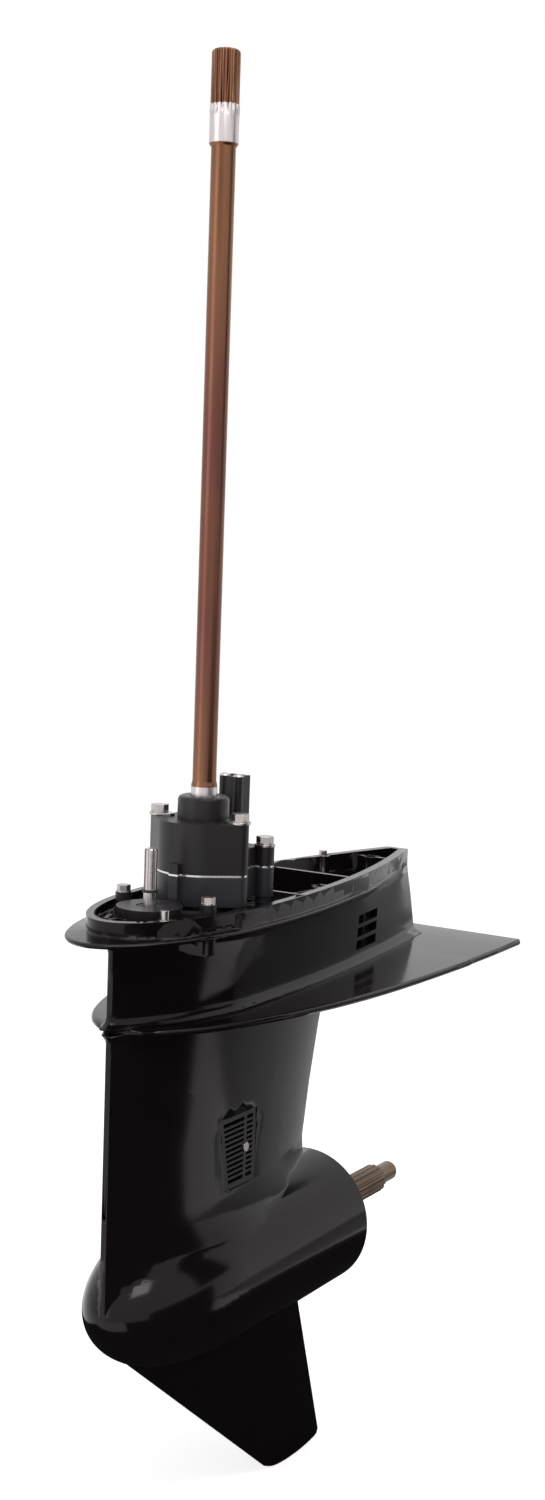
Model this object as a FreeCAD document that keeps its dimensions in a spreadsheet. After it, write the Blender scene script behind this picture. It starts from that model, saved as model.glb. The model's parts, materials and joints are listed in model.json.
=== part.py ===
"""Outboard lower unit: gearcase casting, water pump, shafts, bevel gears, dog clutch and shift linkage.

Frame: origin on the deck (the mating plane with the midsection) at the drive shaft axis,
+X aft along the propeller shaft, +Y starboard, +Z up. Millimetres.
"""
import FreeCAD, Part
import Sketcher
import math
import os
import re
import sys

Vector = FreeCAD.Vector
Rotation = FreeCAD.Rotation
Placement = FreeCAD.Placement

doc = FreeCAD.newDocument("outboard_lower_unit")
sheet = doc.addObject("Spreadsheet::Sheet", "Sizes")

# Driving dimensions. A value that starts with "=" follows from the ones above it.
SIZES = {
    # main stations
    "prop_axis_depth": 332, "running_gap": 0.05, "loose_gap": 0.4,
    # deck rim and the lip round it
    "deck_front": -137, "deck_rear": 350, "deck_half": 64, "deck_widest": 20, "deck_tail": 11.5,
    "deck_wall": 7, "deck_floor": -8, "rim_pad_front_start": -34, "rim_pad_front_end": 4,
    "rim_pad_front_y": 63.6, "rim_pad_rear_start": 168, "rim_pad_rear_end": 196, "rim_pad_rear_y": 53.6,
    "rim_pad_drop": 2, "lip_top": -13, "lip_bottom": -17,
    "lip_front": -162, "lip_rear": 346, "lip_half": 72, "lip_widest": 20, "lip_tail": 11, "lip_edge": 1.4,
    # body between lip and plate
    "body_front": -125, "stem_half": 2.6, "body_rear_top": 352, "body_rear_low": 372, "body_half_top": 56,
    "body_half_low": 43, "body_widest": 15, "body_tail": 11, "body_wall": 7,
    "cove_radius": 11, "root_radius": 9,
    # anti-ventilation plate
    "plate_top": -88, "plate_thickness": 6, "plate_front": -120, "plate_rear": 418,
    "plate_half": 111, "plate_widest": 260, "plate_tail": 108, "plate_corner": 12,
    "plate_edge": 2,
    # leg
    "leg_rear_top": 216, "leg_rear_mid": 188, "leg_rear_waist": 179, "leg_rear_foot": 200,
    "leg_mid_level": "=132-prop_axis_depth", "leg_waist_level": "=89-prop_axis_depth",
    "leg_half_top": 42, "leg_half_waist": 37, "leg_half_foot": 52, "leg_tail": 2.5, "leg_widest": 15,
    # torpedo and skeg
    "torpedo_dia": 127, "torpedo_rear": 200, "nose_front": -126, "nose_length": 126,
    "skeg_front_top": -104, "skeg_front_low": 124, "skeg_rear_top": 168, "skeg_rear_low": 228,
    "skeg_top_level": "=-33-prop_axis_depth", "skeg_low_level": "=-215-prop_axis_depth",
    "skeg_tip_level": "=-229.5-prop_axis_depth",
    "skeg_tip_front": 150, "skeg_tip_rear": 224, "skeg_half_top": 8, "skeg_half_low": 4.5,
    "skeg_tail": 1.6,
    # passages in the casting
    "gear_bore": 52, "front_bearing_bore": 39, "crank_bore": 22, "exhaust_bore": 55,
    "gear_bore_front": -34, "front_bearing_floor": -60, "crank_bore_floor": -96,
    "exhaust_step": 80, "shaft_bore": 17, "pinion_relief": 20.5, "chamber_front": 68,
    "chamber_floor": -76, "chamber_wall_one": 180, "chamber_wall_two": 295,
    "chamber_wall_thick": 4.5, "post_web_length": 46, "post_web_thick": 4, "post_web_turn": 9,
    "post_side_web": 14, "post_top": -5, "centre_post_top": -2, "exhaust_wall": 12, "exhaust_tail": 4,
    "exhaust_front": 76, "exhaust_rear": 150, "exhaust_half": 22,
    "water_front": 28, "water_rear": 50, "water_half": 13,
    "grille_front": -14, "grille_rear": 42, "grille_top": "=149-prop_axis_depth",
    "grille_bottom": "=85-prop_axis_depth",
    "grille_lean": 10, "grille_seat_depth": 32, "intake_floor_depth": 21, "grille_face_depth": 36,
    "grille_frame": 5, "grille_bar": 2.1, "grille_slots": 12, "grille_gap": 0.15,
    "screen_screw_x": 25.5, "screen_rib_width": 4, "screen_screw_level": "=117-prop_axis_depth",
    "screen_screw_radius": 2, "screen_screw_head": 4.2,
    "louvre_front": 211, "louvre_rear": 258, "louvre_top": -43, "louvre_height": 8.5,
    "louvre_pitch": 12.2, "louvre_count": 3, "pitot_level": "=90-prop_axis_depth", "pitot_dia": 4,
    # drive shaft
    "drive_top": 687, "drive_spline_bottom": 644, "drive_runout": 8, "drive_journal_bottom": 614,
    "drive_spline_dia": 23.2, "drive_groove_depth": 1.9, "drive_groove_width": 2.3,
    "drive_groove_count": 16, "drive_journal_dia": 24, "drive_neck_dia": 20,
    "drive_ring_top": 93.6, "drive_ring_bottom": 85.6, "drive_ring_dia": 22.3,
    "drive_shank_dia": 22, "drive_body_dia": 25, "drive_shoulder": -50,
    "pinion_seat_top": "=49-prop_axis_depth", "pinion_seat_bottom": "=33-prop_axis_depth",
    "pinion_seat_dia": 19, "pinion_stub_dia": 14, "pinion_stub_end": "=21.5-prop_axis_depth",
    "pinion_nut_flats": 22,
    "pinion_nut_height": 8,
    # bevel gears and dog clutch
    "gear_module": 3, "pressure_angle": 20, "pinion_teeth": 15, "gear_teeth": 30, "gear_face": 15,
    "gear_backlash": 0.35, "pinion_addendum": 1.0, "gear_addendum": 0.7, "tooth_clearance": 0.3,
    "tooth_sink": 0.8,
    "gear_hub_dia": 40, "forward_hub_end": 58, "reverse_hub_end": 50, "gear_web_front": 18,
    "gear_web_back": 31,
    "lug_root": 14, "lug_tip": 9.5, "lug_inner": 13.2, "lug_outer": 20, "lug_count": 8,
    "lug_angle": 19, "clutch_half": 8.5, "clutch_web_half": 4, "clutch_pin_dia": 5,
    "clutch_travel": 5, "clutch_spline_count": 8, "clutch_groove_width": 3,
    "clutch_groove_depth": 1.3, "clutch_tooth_reach": 3, "spline_gap": 0.15, "ring_spring_radius": 18.9,
    "ring_spring_wire": 0.9,
    "cone_ratio": "=sqrt(pinion_teeth^2+gear_teeth^2)",
    "cone_distance": "=gear_module*cone_ratio/2",
    "face_share": "=1-gear_face/cone_distance",
    "pinion_dedendum": "=gear_module*(gear_addendum+tooth_clearance)",
    "gear_dedendum": "=gear_module*(pinion_addendum+tooth_clearance)",
    "pinion_root_radius": "=gear_module*pinion_teeth/2-pinion_dedendum*gear_teeth/cone_ratio",
    "pinion_root_level": "=gear_module*gear_teeth/2+pinion_dedendum*pinion_teeth/cone_ratio",
    "gear_root_radius": "=gear_module*gear_teeth/2-gear_dedendum*pinion_teeth/cone_ratio",
    "gear_root_level": "=gear_module*pinion_teeth/2+gear_dedendum*gear_teeth/cone_ratio",
    # propeller shaft
    "prop_front": -59, "prop_gear_dia": 25, "prop_carrier_dia": 28, "prop_tip": 362,
    "prop_taper_start": 199, "prop_taper_dia": 33, "prop_taper_end": 222,
    "prop_spline_dia": 28, "prop_spline_end": 329, "prop_groove_depth": 2,
    "prop_groove_width": 2.6, "prop_groove_count": 15, "prop_stub_dia": 19, "prop_bore_dia": 14,
    "prop_bore_end": 16, "prop_runout": 7,
    # bearing carrier
    "carrier_front": 32, "carrier_seat_rear": 76, "carrier_tube_dia": 52, "carrier_rear": 190,
    "carrier_ring_front": 176, "carrier_spokes": 4, "carrier_spoke_width": 9,
    "carrier_rim_thick": 5, "needle_shell": 18, "seal_radius": 21,
    "ring_nut_rear": 197, "tab_washer_thick": 1.5, "nut_slot_width": 8,
    # bearings
    "forward_cone_radius": 30, "forward_bearing_width": 24, "forward_roller_radius": 3.4,
    "forward_roller_count": 24, "taper_drop": 3, "roller_gap": 0.05, "roller_margin": 3,
    "drive_cone_radius": 19, "drive_roller_radius": 2.6, "drive_roller_count": 18,
    "reverse_race_outer": 46, "reverse_race_wall": 5, "ball_count": 12,
    "reverse_bearing_front": 33, "reverse_bearing_rear": 51,
    "needle_length": 22, "carrier_needle_front": 140, "carrier_needle_rear": 165,
    "seal_front": 171, "seal_length": 8,
    # water pump
    "pump_floor": -8, "pump_base": -2, "pump_foot_radius": 33, "pump_split": 22.5, "pump_plate_thick": 1.5,
    "pump_gasket_thick": 0.6,
    "pump_top": 66.5, "pump_radius": 38, "pump_boss_radius": 7.5, "pump_boss_x": -5.5,
    "pump_boss_y": 40.3, "pump_ear_x": 50, "pump_ear_y": 30.5, "pump_ear_radius": 8.3,
    "pump_ear_top": 40.5, "pump_collar_radius": 21.6, "pump_collar_top": 86, "collar_round": 3,
    "pump_cavity_radius": 31, "pump_cavity_top": 47, "cup_wall": 1, "pump_spigot_radius": 27,
    "bolt_depth": 16, "bolt_gap": 0.15, "pump_seal_radius": 19, "pump_seal_top": -6,
    "pump_plate_level": "=pump_split+pump_gasket_thick+pump_plate_thick",
    "impeller_gap": 0.3, "impeller_bottom": "=pump_plate_level+impeller_gap",
    "impeller_top": "=pump_cavity_top-cup_wall-impeller_gap",
    "pump_rib_width": 9, "pump_rib_top": 33, "pump_rib_out": 4, "impeller_hub_radius": 17,
    "impeller_blades": 6,
    "impeller_blade_thick": 4.5, "impeller_key_width": 4, "impeller_key_length": 16,
    "bolt_shank": 3.9, "bolt_head_flats": 13, "bolt_head_height": 6.5, "washer_radius": 8.9,
    "washer_thick": 2.2, "washer_reach": 9, "washer_tongue": 5.5,
    "tower_x": 52, "tower_y": 3, "tower_length": 19, "tower_width": 19, "tower_top": 98,
    "tower_bore_dia": 9.6, "tower_bore_x": 53.5, "tower_bore_y": 3.5, "tower_seat_dia": 13,
    "tower_column_radius": 4.3, "tower_column_x": 44.5, "tower_column_y": -5, "tower_screw_x": 45.5,
    "tower_screw_y": 9.5, "tower_screw_radius": 2, "dome_radius": 6, "dome_sink": 3.6,
    # shift parts
    "shift_x": -74, "shift_top": 50, "shift_spline_bottom": 17, "shift_dia": 10.7,
    "shift_groove_depth": 1.1, "shift_groove_width": 1.8, "shift_groove_count": 9,
    "shift_cover_top": 3.5, "shift_cover_radius": 27, "cover_arm_half": 5.3, "cover_arm_thick": 7.5,
    "shift_bolt_x": -52, "shift_bolt_y": 42,
    "shift_boss_radius": 6.8, "shift_boss_top": 6.5,
    "shift_bolt_shank": 3, "shift_bolt_flats": 10, "shift_bolt_height": 6,
    "shift_recess_radius": 11, "shift_recess_depth": 2, "shift_ring_level": 14.5,
    "crank_radius": 13.4, "crank_throw": 10.65, "crank_thick": 5, "crank_pin_dia": 6,
    "yoke_thick": 10, "crank_level": "=-prop_axis_depth+yoke_thick/2+0.5",
    "slider_dia": 6, "slider_head_dia": 10, "plunger_front": -34,
    # small pieces
    "dowel_dia": 7.6, "dowel_foot_dia": 8.8, "dowel_length": 20, "dowel_front_x": -101.5,
    "dowel_front_y": -34, "dowel_front_height": 8, "dowel_rear_x": 256, "dowel_rear_y": 31,
    "dowel_rear_height": 5, "deck_rib_x": -72, "deck_rib_y": 57, "deck_rib_radius": 5, "deck_rib_drop": 16,
    "deck_bolt_dia": 8.5, "front_bolt_x": -117, "front_boss_radius": 8, "dowel_boss_radius": 6.5,
    "inner_boss_x": 137, "inner_boss_y": 37, "inner_boss_radius": 9,
    "oil_drain_x": -48, "oil_drain_level": "=-34-prop_axis_depth", "oil_drain_seat": 44.5,
    "oil_level_x": -35, "oil_level_level": -140, "oil_level_seat": 30.5, "oil_head_radius": 8,
    "oil_shank_radius": 4,
    "oil_shank_length": 8,
}


def cell(row):
    """Address of the value cell in one row of the sheet."""
    return "B" + str(row)


for row, (name, size) in enumerate(SIZES.items(), start=1):
    sheet.set("A" + str(row), name)
    sheet.set(cell(row), str(size))
    sheet.setAlias(cell(row), name)
doc.recompute()

NODES = {}


def bind(text):
    """Write an expression on the sheet's own names as one that other objects can use."""
    return re.sub(r"[a-z][a-z_]*[a-z]", lambda hit: "Sizes." + hit[0] if hit[0] in SIZES else hit[0],
                  str(text))


def value(text):
    """The number that an expression has now."""
    return float(sheet.evalExpression(bind(text)))


def node(name, piece):
    """Give a finished piece the name that its file has."""
    piece.Label = name
    NODES[name] = piece
    return piece


def place(piece, where=("0", "0", "0"), turn=None):
    """Bind the position of a piece to the sheet, after an optional turn (axis, degrees)."""
    if turn:
        piece.Placement = Placement(Vector(), Rotation(Vector(*turn[0]), turn[1]))
    for letter, text in zip("xyz", where):
        piece.setExpression("Placement.Base." + letter, bind(text))
    return piece


def bind_all(piece, **bindings):
    for name, text in bindings.items():
        piece.setExpression(name, bind(text))
    return piece


AFT = ((0, 1, 0), 90)
FORE = ((0, 1, 0), -90)
TO_PORT = ((1, 0, 0), 90)
TO_STARBOARD = ((1, 0, 0), -90)
ON_PROP_AXIS = ("0", "0", "-prop_axis_depth")


def cylinder(name, radius, height, where=("0", "0", "0"), turn=None):
    piece = doc.addObject("Part::Cylinder", name)
    bind_all(piece, Radius=radius, Height=height)
    return place(piece, where, turn)


def box(name, low, high):
    """Box between two corners, each a triple of expressions."""
    piece = doc.addObject("Part::Box", name)
    for size, start, end in zip(("Length", "Width", "Height"), low, high):
        piece.setExpression(size, bind("(" + end + ")-(" + start + ")"))
    return place(piece, low)


def hexagon(name, flats, height, where, turn=None):
    piece = doc.addObject("Part::Prism", name)
    piece.Polygon = 6
    bind_all(piece, Circumradius="(" + flats + ")/sqrt(3)", Height=height)
    return place(piece, where, turn)


def fuse(name, *pieces):
    joined = doc.addObject("Part::MultiFuse", name)
    joined.Shapes = list(pieces)
    joined.Refine = True
    return joined


def cut(name, base, *tools):
    tool = tools[0] if len(tools) == 1 else fuse(name + "_tools", *tools)
    result = doc.addObject("Part::Cut", name)
    result.Base = base
    result.Tool = tool
    result.Refine = True
    return result


def common(name, base, tool):
    result = doc.addObject("Part::Common", name)
    result.Base = base
    result.Tool = tool
    return result


def group(name, pieces):
    """Separate identical pieces that share one file."""
    together = doc.addObject("Part::Compound", name)
    together.Links = list(pieces)
    return together


def feature(name, shape, where=("0", "0", "0"), turn=None):
    piece = doc.addObject("Part::Feature", name)
    piece.Shape = shape
    return place(piece, where, turn)


def profile_sketch(body, name, corners):
    """Closed outline on the body's XZ plane, every corner bound to the sheet."""
    sketch = body.newObject("Sketcher::SketchObject", name)
    plane = [item for item in body.Origin.OriginFeatures if item.Role == "XZ_Plane"][0]
    sketch.AttachmentSupport = (plane, "")
    sketch.MapMode = "FlatFace"
    points = [Vector(value(across), value(up), 0) for across, up in corners]
    count = len(points)
    for index in range(count):
        sketch.addGeometry(Part.LineSegment(points[index], points[(index + 1) % count]), False)
    for index in range(count):
        sketch.addConstraint(Sketcher.Constraint("Coincident", index, 2, (index + 1) % count, 1))
    for index, (across, up) in enumerate(corners):
        for kind, text in (("DistanceX", across), ("DistanceY", up)):
            number = sketch.addConstraint(Sketcher.Constraint(kind, -1, 1, index, 1, value(text)))
            label = kind.lower() + "_" + str(index)
            sketch.renameConstraint(number, label)
            sketch.setExpression("Constraints." + label, bind(text))
    return sketch


def turned(name, profile, where=("0", "0", "0"), turn=None):
    """Lathe-turned body: corners are (height along the axis, radius), the axis is the body's Z."""
    body = doc.addObject("PartDesign::Body", name)
    sketch = profile_sketch(body, name + "_profile", [(radius, along) for along, radius in profile])
    revolution = body.newObject("PartDesign::Revolution", name + "_turning")
    revolution.Profile = sketch
    revolution.ReferenceAxis = (sketch, ["V_Axis"])
    revolution.Angle = 360
    body.Tip = revolution
    return place(body, where, turn)


def fluted(body, name, corners, width, count):
    """Mill equal grooves round a turned body: corners are (radius, height) of one groove."""
    sketch = profile_sketch(body, name + "_groove", corners)
    pocket = body.newObject("PartDesign::Pocket", name + "_milling")
    pocket.Profile = sketch
    pocket.Midplane = True
    pocket.setExpression("Length", bind(width))
    axis = [item for item in body.Origin.OriginFeatures if item.Role == "Z_Axis"][0]
    pattern = body.newObject("PartDesign::PolarPattern", name + "_flutes")
    pattern.Originals = [pocket]
    pattern.Axis = (axis, [""])
    pattern.Angle = 360
    pattern.setExpression("Occurrences", bind(count))
    body.Tip = pattern
    return body


def ring(name, low, high, inner, outer, where=("0", "0", "0"), turn=None):
    """Plain turned ring."""
    corners = [(low, inner), (low, outer), (high, outer), (high, inner)]
    return turned(name, corners, where, turn)


# Lofted outlines of the casting

RUN_STEPS = 4
NOSE_STEPS = 5
STEM_STEPS = 4
STEM_PARAMETERS = [step / (RUN_STEPS + STEM_STEPS) for step in range(RUN_STEPS + STEM_STEPS + 1)]


def outline_points(front, rear, half, widest, tail):
    """Starboard half of a hull-like outline, from the tail round to the stem."""
    points = []
    for step in range(RUN_STEPS, 0, -1):
        share = step / RUN_STEPS
        points.append((widest + share * (rear - widest), tail + (half - tail) * (1 - share ** 2)))
    for step in range(NOSE_STEPS + 1):
        angle = math.pi / 2 * step / NOSE_STEPS
        points.append((widest - (widest - front) * math.sin(angle), half * math.cos(angle)))
    return points


def reference_parameters():
    """One set of spline parameters for every section, so that the skins between them stay smooth."""
    points = outline_points(value("deck_front"), value("deck_rear"), value("deck_half"),
                            value("deck_widest"), value("deck_tail"))
    points += [(across, -aside) for across, aside in reversed(points[:-1])]
    total = [0.0]
    for one, two in zip(points, points[1:]):
        total.append(total[-1] + math.dist(one, two))
    return total


PARAMETERS = reference_parameters()


def hull_wire(level, front, rear, half, widest, tail, grow=0.0):
    """Closed outline at one level. grow moves the whole line outwards."""
    points = outline_points(front - grow, rear + grow, half + grow, widest, tail + grow)
    points += [(across, -aside) for across, aside in reversed(points[:-1])]
    spots = [Vector(across, aside, level) for across, aside in points]
    curve = Part.BSplineCurve()
    curve.interpolate(Points=spots, Parameters=PARAMETERS)
    transom = Part.LineSegment(spots[-1], spots[0])
    return Part.Wire([curve.toShape(), transom.toShape()])


def stem_wire(level, front, rear, half, widest, tail, grow=0.0):
    """Closed outline with a narrow flat stem: the sides run straight into it."""
    stem = max(value("stem_half") + grow / 2, 1)
    ahead = front - grow
    starboard = []
    for step in range(RUN_STEPS, 0, -1):
        share = step / RUN_STEPS
        starboard.append((widest + share * (rear + grow - widest),
                          tail + grow + (half - tail) * (1 - share ** 2)))
    for step in range(STEM_STEPS + 1):
        share = step / STEM_STEPS
        starboard.append((widest - share * (widest - ahead),
                          stem + (half + grow - stem) * (1 - share ** 2)))
    right = [Vector(across, aside, level) for across, aside in starboard]
    left = [Vector(across, -aside, level) for across, aside in reversed(starboard)]
    edges = []
    for spots, share in ((right, STEM_PARAMETERS),
                         (left, [1 - spot for spot in reversed(STEM_PARAMETERS)])):
        curve = Part.BSplineCurve()
        curve.interpolate(Points=spots, Parameters=share)
        edges.append(curve.toShape())
    edges.insert(1, Part.LineSegment(right[-1], left[0]).toShape())
    edges.append(Part.LineSegment(left[-1], right[0]).toShape())
    return Part.Wire(edges)


def skin(wires):
    return Part.makeLoft(wires, True, True)


def named_outline(prefix):
    return [value(prefix + "_" + part) for part in ("front", "rear", "half", "widest", "tail")]


def slab(prefix, top, bottom, grow=0.0):
    """Flat plate with one of the named outlines."""
    wire = hull_wire(bottom, *named_outline(prefix), grow=grow)
    return Part.Face(wire).extrude(Vector(0, 0, top - bottom))


def blend(start, end, share):
    return start + (end - start) * share


def cove(radius, height):
    """How far a concave corner of this radius stands out, at a height above its floor."""
    return radius - math.sqrt(radius ** 2 - (radius - height) ** 2)


COVE_STEPS = (0.08, 0.3, 0.6, 1.0)


def body_section(level, grow=0.0):
    """Outline of the body between the lip and the plate."""
    share = (value("lip_bottom") - level) / (value("lip_bottom") - value("plate_top"))
    rear = blend(value("body_rear_top"), value("body_rear_low"), share)
    half = blend(value("body_half_top"), value("body_half_low"), math.sqrt(max(share, 0)))
    return stem_wire(level, value("body_front"), rear, half, value("body_widest"), value("body_tail"), grow)


def body_skin():
    top = value("lip_bottom")
    low = value("plate_top")
    upper = value("cove_radius")
    lower = value("root_radius")
    wires = [body_section(top - upper * step, cove(upper, upper * step)) for step in COVE_STEPS]
    wires[0] = body_section(top + 1, cove(upper, upper * COVE_STEPS[0]))
    for share in (0.35, 0.55, 0.75):
        wires.append(body_section(blend(top, low, share)))
    wires += [body_section(low + lower * step, cove(lower, lower * step)) for step in reversed(COVE_STEPS)]
    wires.append(body_section(low - 1, cove(lower, lower * COVE_STEPS[0])))
    return skin(wires)


def leg_section(level, rear, half, grow=0.0, tail=None):
    blunt = value("leg_tail") if tail is None else tail
    return stem_wire(level, value("body_front"), rear, half, value("leg_widest"), blunt, grow)


def leg_skin():
    """Leg from the plate down into the torpedo, pinched at the waist and flared at the foot."""
    root = value("plate_top") - value("plate_thickness")
    axis = -value("prop_axis_depth")
    waist = value("leg_waist_level")
    top_half = value("leg_half_top")
    waist_half = value("leg_half_waist")
    foot_half = value("leg_half_foot")
    rise = math.sqrt((value("torpedo_dia") / 2) ** 2 - foot_half ** 2)
    foot = axis + rise
    flare_top = foot + 2 * (foot_half - waist_half) * foot_half / rise
    small = value("root_radius") * 0.7
    wires = []
    for step in COVE_STEPS:
        level = root - small * step
        wires.append(leg_section(level, value("leg_rear_top"), top_half, cove(small, small * step)))
    wires[0] = leg_section(root + 1, value("leg_rear_top"), top_half, cove(small, small * COVE_STEPS[0]))
    middle = value("leg_mid_level")
    for share in (0.5, 1.0):
        level = blend(root, middle, share)
        rear = blend(value("leg_rear_top"), value("leg_rear_mid"), share ** 0.9)
        wires.append(leg_section(level, rear, blend(top_half, waist_half, share)))
    wires.append(leg_section((waist + flare_top) / 2 if waist > flare_top else waist + 1,
                             value("leg_rear_waist"), waist_half))
    for share in (0.0, 0.25, 0.5, 0.75, 1.0):
        flare = share ** 2
        rear = blend(value("leg_rear_waist"), value("leg_rear_foot"), flare)
        wires.append(leg_section(blend(flare_top, foot, share), rear, blend(waist_half, foot_half, flare)))
    wires.append(leg_section(axis, value("leg_rear_foot"), foot_half))
    return skin(wires)


def skeg_skin():
    levels = [(value("skeg_top_level"), value("skeg_front_top"), value("skeg_rear_top"),
               value("skeg_half_top")),
              (value("skeg_low_level"), value("skeg_front_low"), value("skeg_rear_low"),
               value("skeg_half_low"))]
    tip = value("skeg_tip_level")
    front = value("skeg_tip_front")
    rear = value("skeg_tip_rear")
    half = value("skeg_half_low")
    low = value("skeg_low_level")
    levels.append((blend(low, tip, 0.6), blend(value("skeg_front_low"), front, 0.42),
                   value("skeg_rear_low") + 3, half))
    levels.append((blend(low, tip, 0.9), blend(value("skeg_front_low"), front, 0.8),
                   value("skeg_rear_low") + 1, half))
    levels.append((tip, front, rear, half))
    tail = value("skeg_tail")
    return skin([hull_wire(level, ahead, aft, side, blend(ahead, aft, 0.45), tail) for level, ahead, aft,
                 side in levels])


def soft_slab(prefix, top, bottom, edge):
    """Flat plate with one of the named outlines and its edge eased above and below."""
    outline = named_outline(prefix)
    levels = ((bottom, -edge), (bottom + edge, 0), (top - edge, 0), (top, -edge))
    return skin([hull_wire(level, *outline, grow=grow) for level, grow in levels])


def plate_shape():
    """Anti-ventilation plate with rounded aft corners."""
    bottom = value("plate_top") - value("plate_thickness")
    blank = soft_slab("plate", value("plate_top"), bottom, value("plate_edge"))
    half = value("plate_half")
    length = value("plate_rear") - value("plate_front") + 10
    trim = Part.makeBox(length, 2 * half, 20, Vector(value("plate_front") - 10, -half, bottom - 5))
    corners = [edge for edge in trim.Edges
               if edge.BoundBox.ZLength > 10 and edge.BoundBox.XMin > value("plate_rear") - 1]
    return blank.common(trim.makeFillet(value("plate_corner"), corners))


def lip_shape():
    return soft_slab("lip", value("lip_top"), value("lip_bottom"), value("lip_edge"))


# Gearcase casting: outside

casting_body = feature("casting_body", body_skin())
casting_leg = feature("casting_leg", leg_skin())
casting_plate = feature("casting_plate", plate_shape())
casting_lip = feature("casting_lip", lip_shape())
casting_rim = feature("casting_rim", slab("deck", 0, value("lip_bottom")))
casting_skeg = feature("casting_skeg", skeg_skin())
barrel = cylinder("torpedo_barrel", "torpedo_dia/2", "torpedo_rear-(nose_front+nose_length)",
                  ("nose_front+nose_length", "0", "-prop_axis_depth"), AFT)
nose = doc.addObject("Part::Ellipsoid", "torpedo_nose")
bind_all(nose, Radius1="nose_length", Radius2="torpedo_dia/2", Radius3="torpedo_dia/2")
place(nose, ("nose_front+nose_length", "0", "-prop_axis_depth"), AFT)
deck_ribs = [cylinder("deck_rib_" + side, "deck_rib_radius", "deck_rib_drop",
                      ("deck_rib_x", sign + "deck_rib_y", "lip_top-deck_rib_drop"))
             for side, sign in (("port", "-"), ("starboard", ""))]
deck_ribs.append(box("deck_rib_web", ("deck_rib_x-2", "-deck_rib_y", "lip_bottom-14"),
                     ("deck_rib_x+2", "deck_rib_y", "lip_top-1")))
rim_pads = []
for name in ("front", "rear"):
    reach = "rim_pad_" + name + "_y"
    rim_pads.append(box("rim_pad_" + name, ("rim_pad_" + name + "_start", "-" + reach, "lip_top-1"),
                        ("rim_pad_" + name + "_end", reach, "-rim_pad_drop")))
casting_outside = fuse("casting_outside", casting_body, casting_leg, casting_plate, casting_lip,
                       casting_rim, casting_skeg, barrel, nose, *deck_ribs, *rim_pads)

# Gearcase casting: passages and seats

DOWELS = (("dowel_front_x", "dowel_front_y", "dowel_front_height"),
          ("dowel_rear_x", "dowel_rear_y", "dowel_rear_height"))


def chamber_shape():
    """Open exhaust chamber behind the pump, following the outside of the body."""
    wall = value("body_wall")
    top = value("lip_bottom") + 1
    floor = value("chamber_floor")
    wires = [body_section(blend(top, floor, share), -wall) for share in (0.0, 0.25, 0.5, 1.0)]
    inner = skin(wires).fuse(slab("deck", 1, top, -wall))
    length = value("deck_rear") - value("chamber_front")
    keep = Part.makeBox(length, 200, 200, Vector(value("chamber_front"), -100, floor))
    hollow = inner.common(keep)
    for name in ("chamber_wall_one", "chamber_wall_two"):
        thick = value("chamber_wall_thick")
        hollow = hollow.cut(Part.makeBox(thick, 200, -floor - 2,
                                         Vector(value(name) - thick / 2, -100, floor)))
    return hollow


def chamber_posts():
    """Bolt bosses that stand in the chamber, with the webs that carry them."""
    floor = value("chamber_floor") - 1
    top = value("post_top")
    across = value("inner_boss_x")
    boss = value("inner_boss_radius")
    web_length = value("post_web_length")
    web_thick = value("post_web_thick")
    side_web = value("post_side_web")
    posts = []
    for side in (-1, 1):
        aside = side * value("inner_boss_y")
        posts.append(Part.makeCylinder(boss, top - floor, Vector(across, aside, floor)))
        web = Part.makeBox(web_length, web_thick, value("centre_post_top") - floor - 5,
                           Vector(across - web_length, aside - web_thick / 2, floor))
        web.rotate(Vector(across, aside, 0), Vector(0, 0, 1), side * value("post_web_turn"))
        posts.append(web)
        posts.append(Part.makeBox(web_thick, side_web, top - floor,
                                  Vector(across - web_thick / 2, min(aside, aside + side * side_web),
                                         floor)))
    centre = Vector(value("chamber_wall_two"), 0, floor)
    posts.append(Part.makeCylinder(boss, value("centre_post_top") - floor, centre))
    rim = value("lip_bottom")
    for across, aside, tall in DOWELS:
        posts.append(Part.makeCylinder(value("dowel_boss_radius"), -rim,
                                       Vector(value(across), value(aside), rim)))
    spot = Vector(value("front_bolt_x"), 0, rim)
    posts.append(Part.makeCylinder(value("front_boss_radius"), value("centre_post_top") - rim, spot))
    return posts[0].multiFuse(posts[1:])


def exhaust_shape():
    """Exhaust passage down the aft half of the leg into the torpedo."""
    wires = []
    for share in (0.0, 1.0):
        level = blend(value("chamber_floor") + 1, value("exhaust_bore") * 0.75 - value("prop_axis_depth"),
                      share)
        rear = blend(value("leg_rear_top"), value("leg_rear_waist"), share) - value("exhaust_wall")
        wires.append(hull_wire(level, value("deck_front"), rear, value("exhaust_half"), value("leg_widest"),
                               value("exhaust_tail")))
    length = value("exhaust_rear") - value("exhaust_front")
    return skin(wires).common(Part.makeBox(length, 100, 400, Vector(value("exhaust_front"), -50, -400)))


def louvre_shape(side):
    """Relief slots through the side of the chamber."""
    slots = []
    long = value("louvre_rear") - value("louvre_front")
    for index in range(int(value("louvre_count"))):
        low = value("louvre_top") - index * value("louvre_pitch") - value("louvre_height")
        slots.append(Part.makeBox(long, 50, value("louvre_height"),
                                  Vector(value("louvre_front"), 12 if side > 0 else -62, low)))
    return slots[0].multiFuse(slots[1:])


def grille_prism(depth_from, depth_to, side, inset=0.0):
    """Leaning four-sided block of the water intake, between two distances from the centre plane."""
    lean = value("grille_lean")
    low = value("grille_bottom") + inset
    high = value("grille_top") - inset
    front = value("grille_front") + inset
    rear = value("grille_rear") - inset
    near = min(side * depth_from, side * depth_to)
    corners = [Vector(front + lean, near, low), Vector(rear, near, low), Vector(rear, near, high),
               Vector(front, near, high)]
    face = Part.Face(Part.makePolygon(corners + corners[:1]))
    return face.extrude(Vector(0, abs(depth_to - depth_from), 0))


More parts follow.
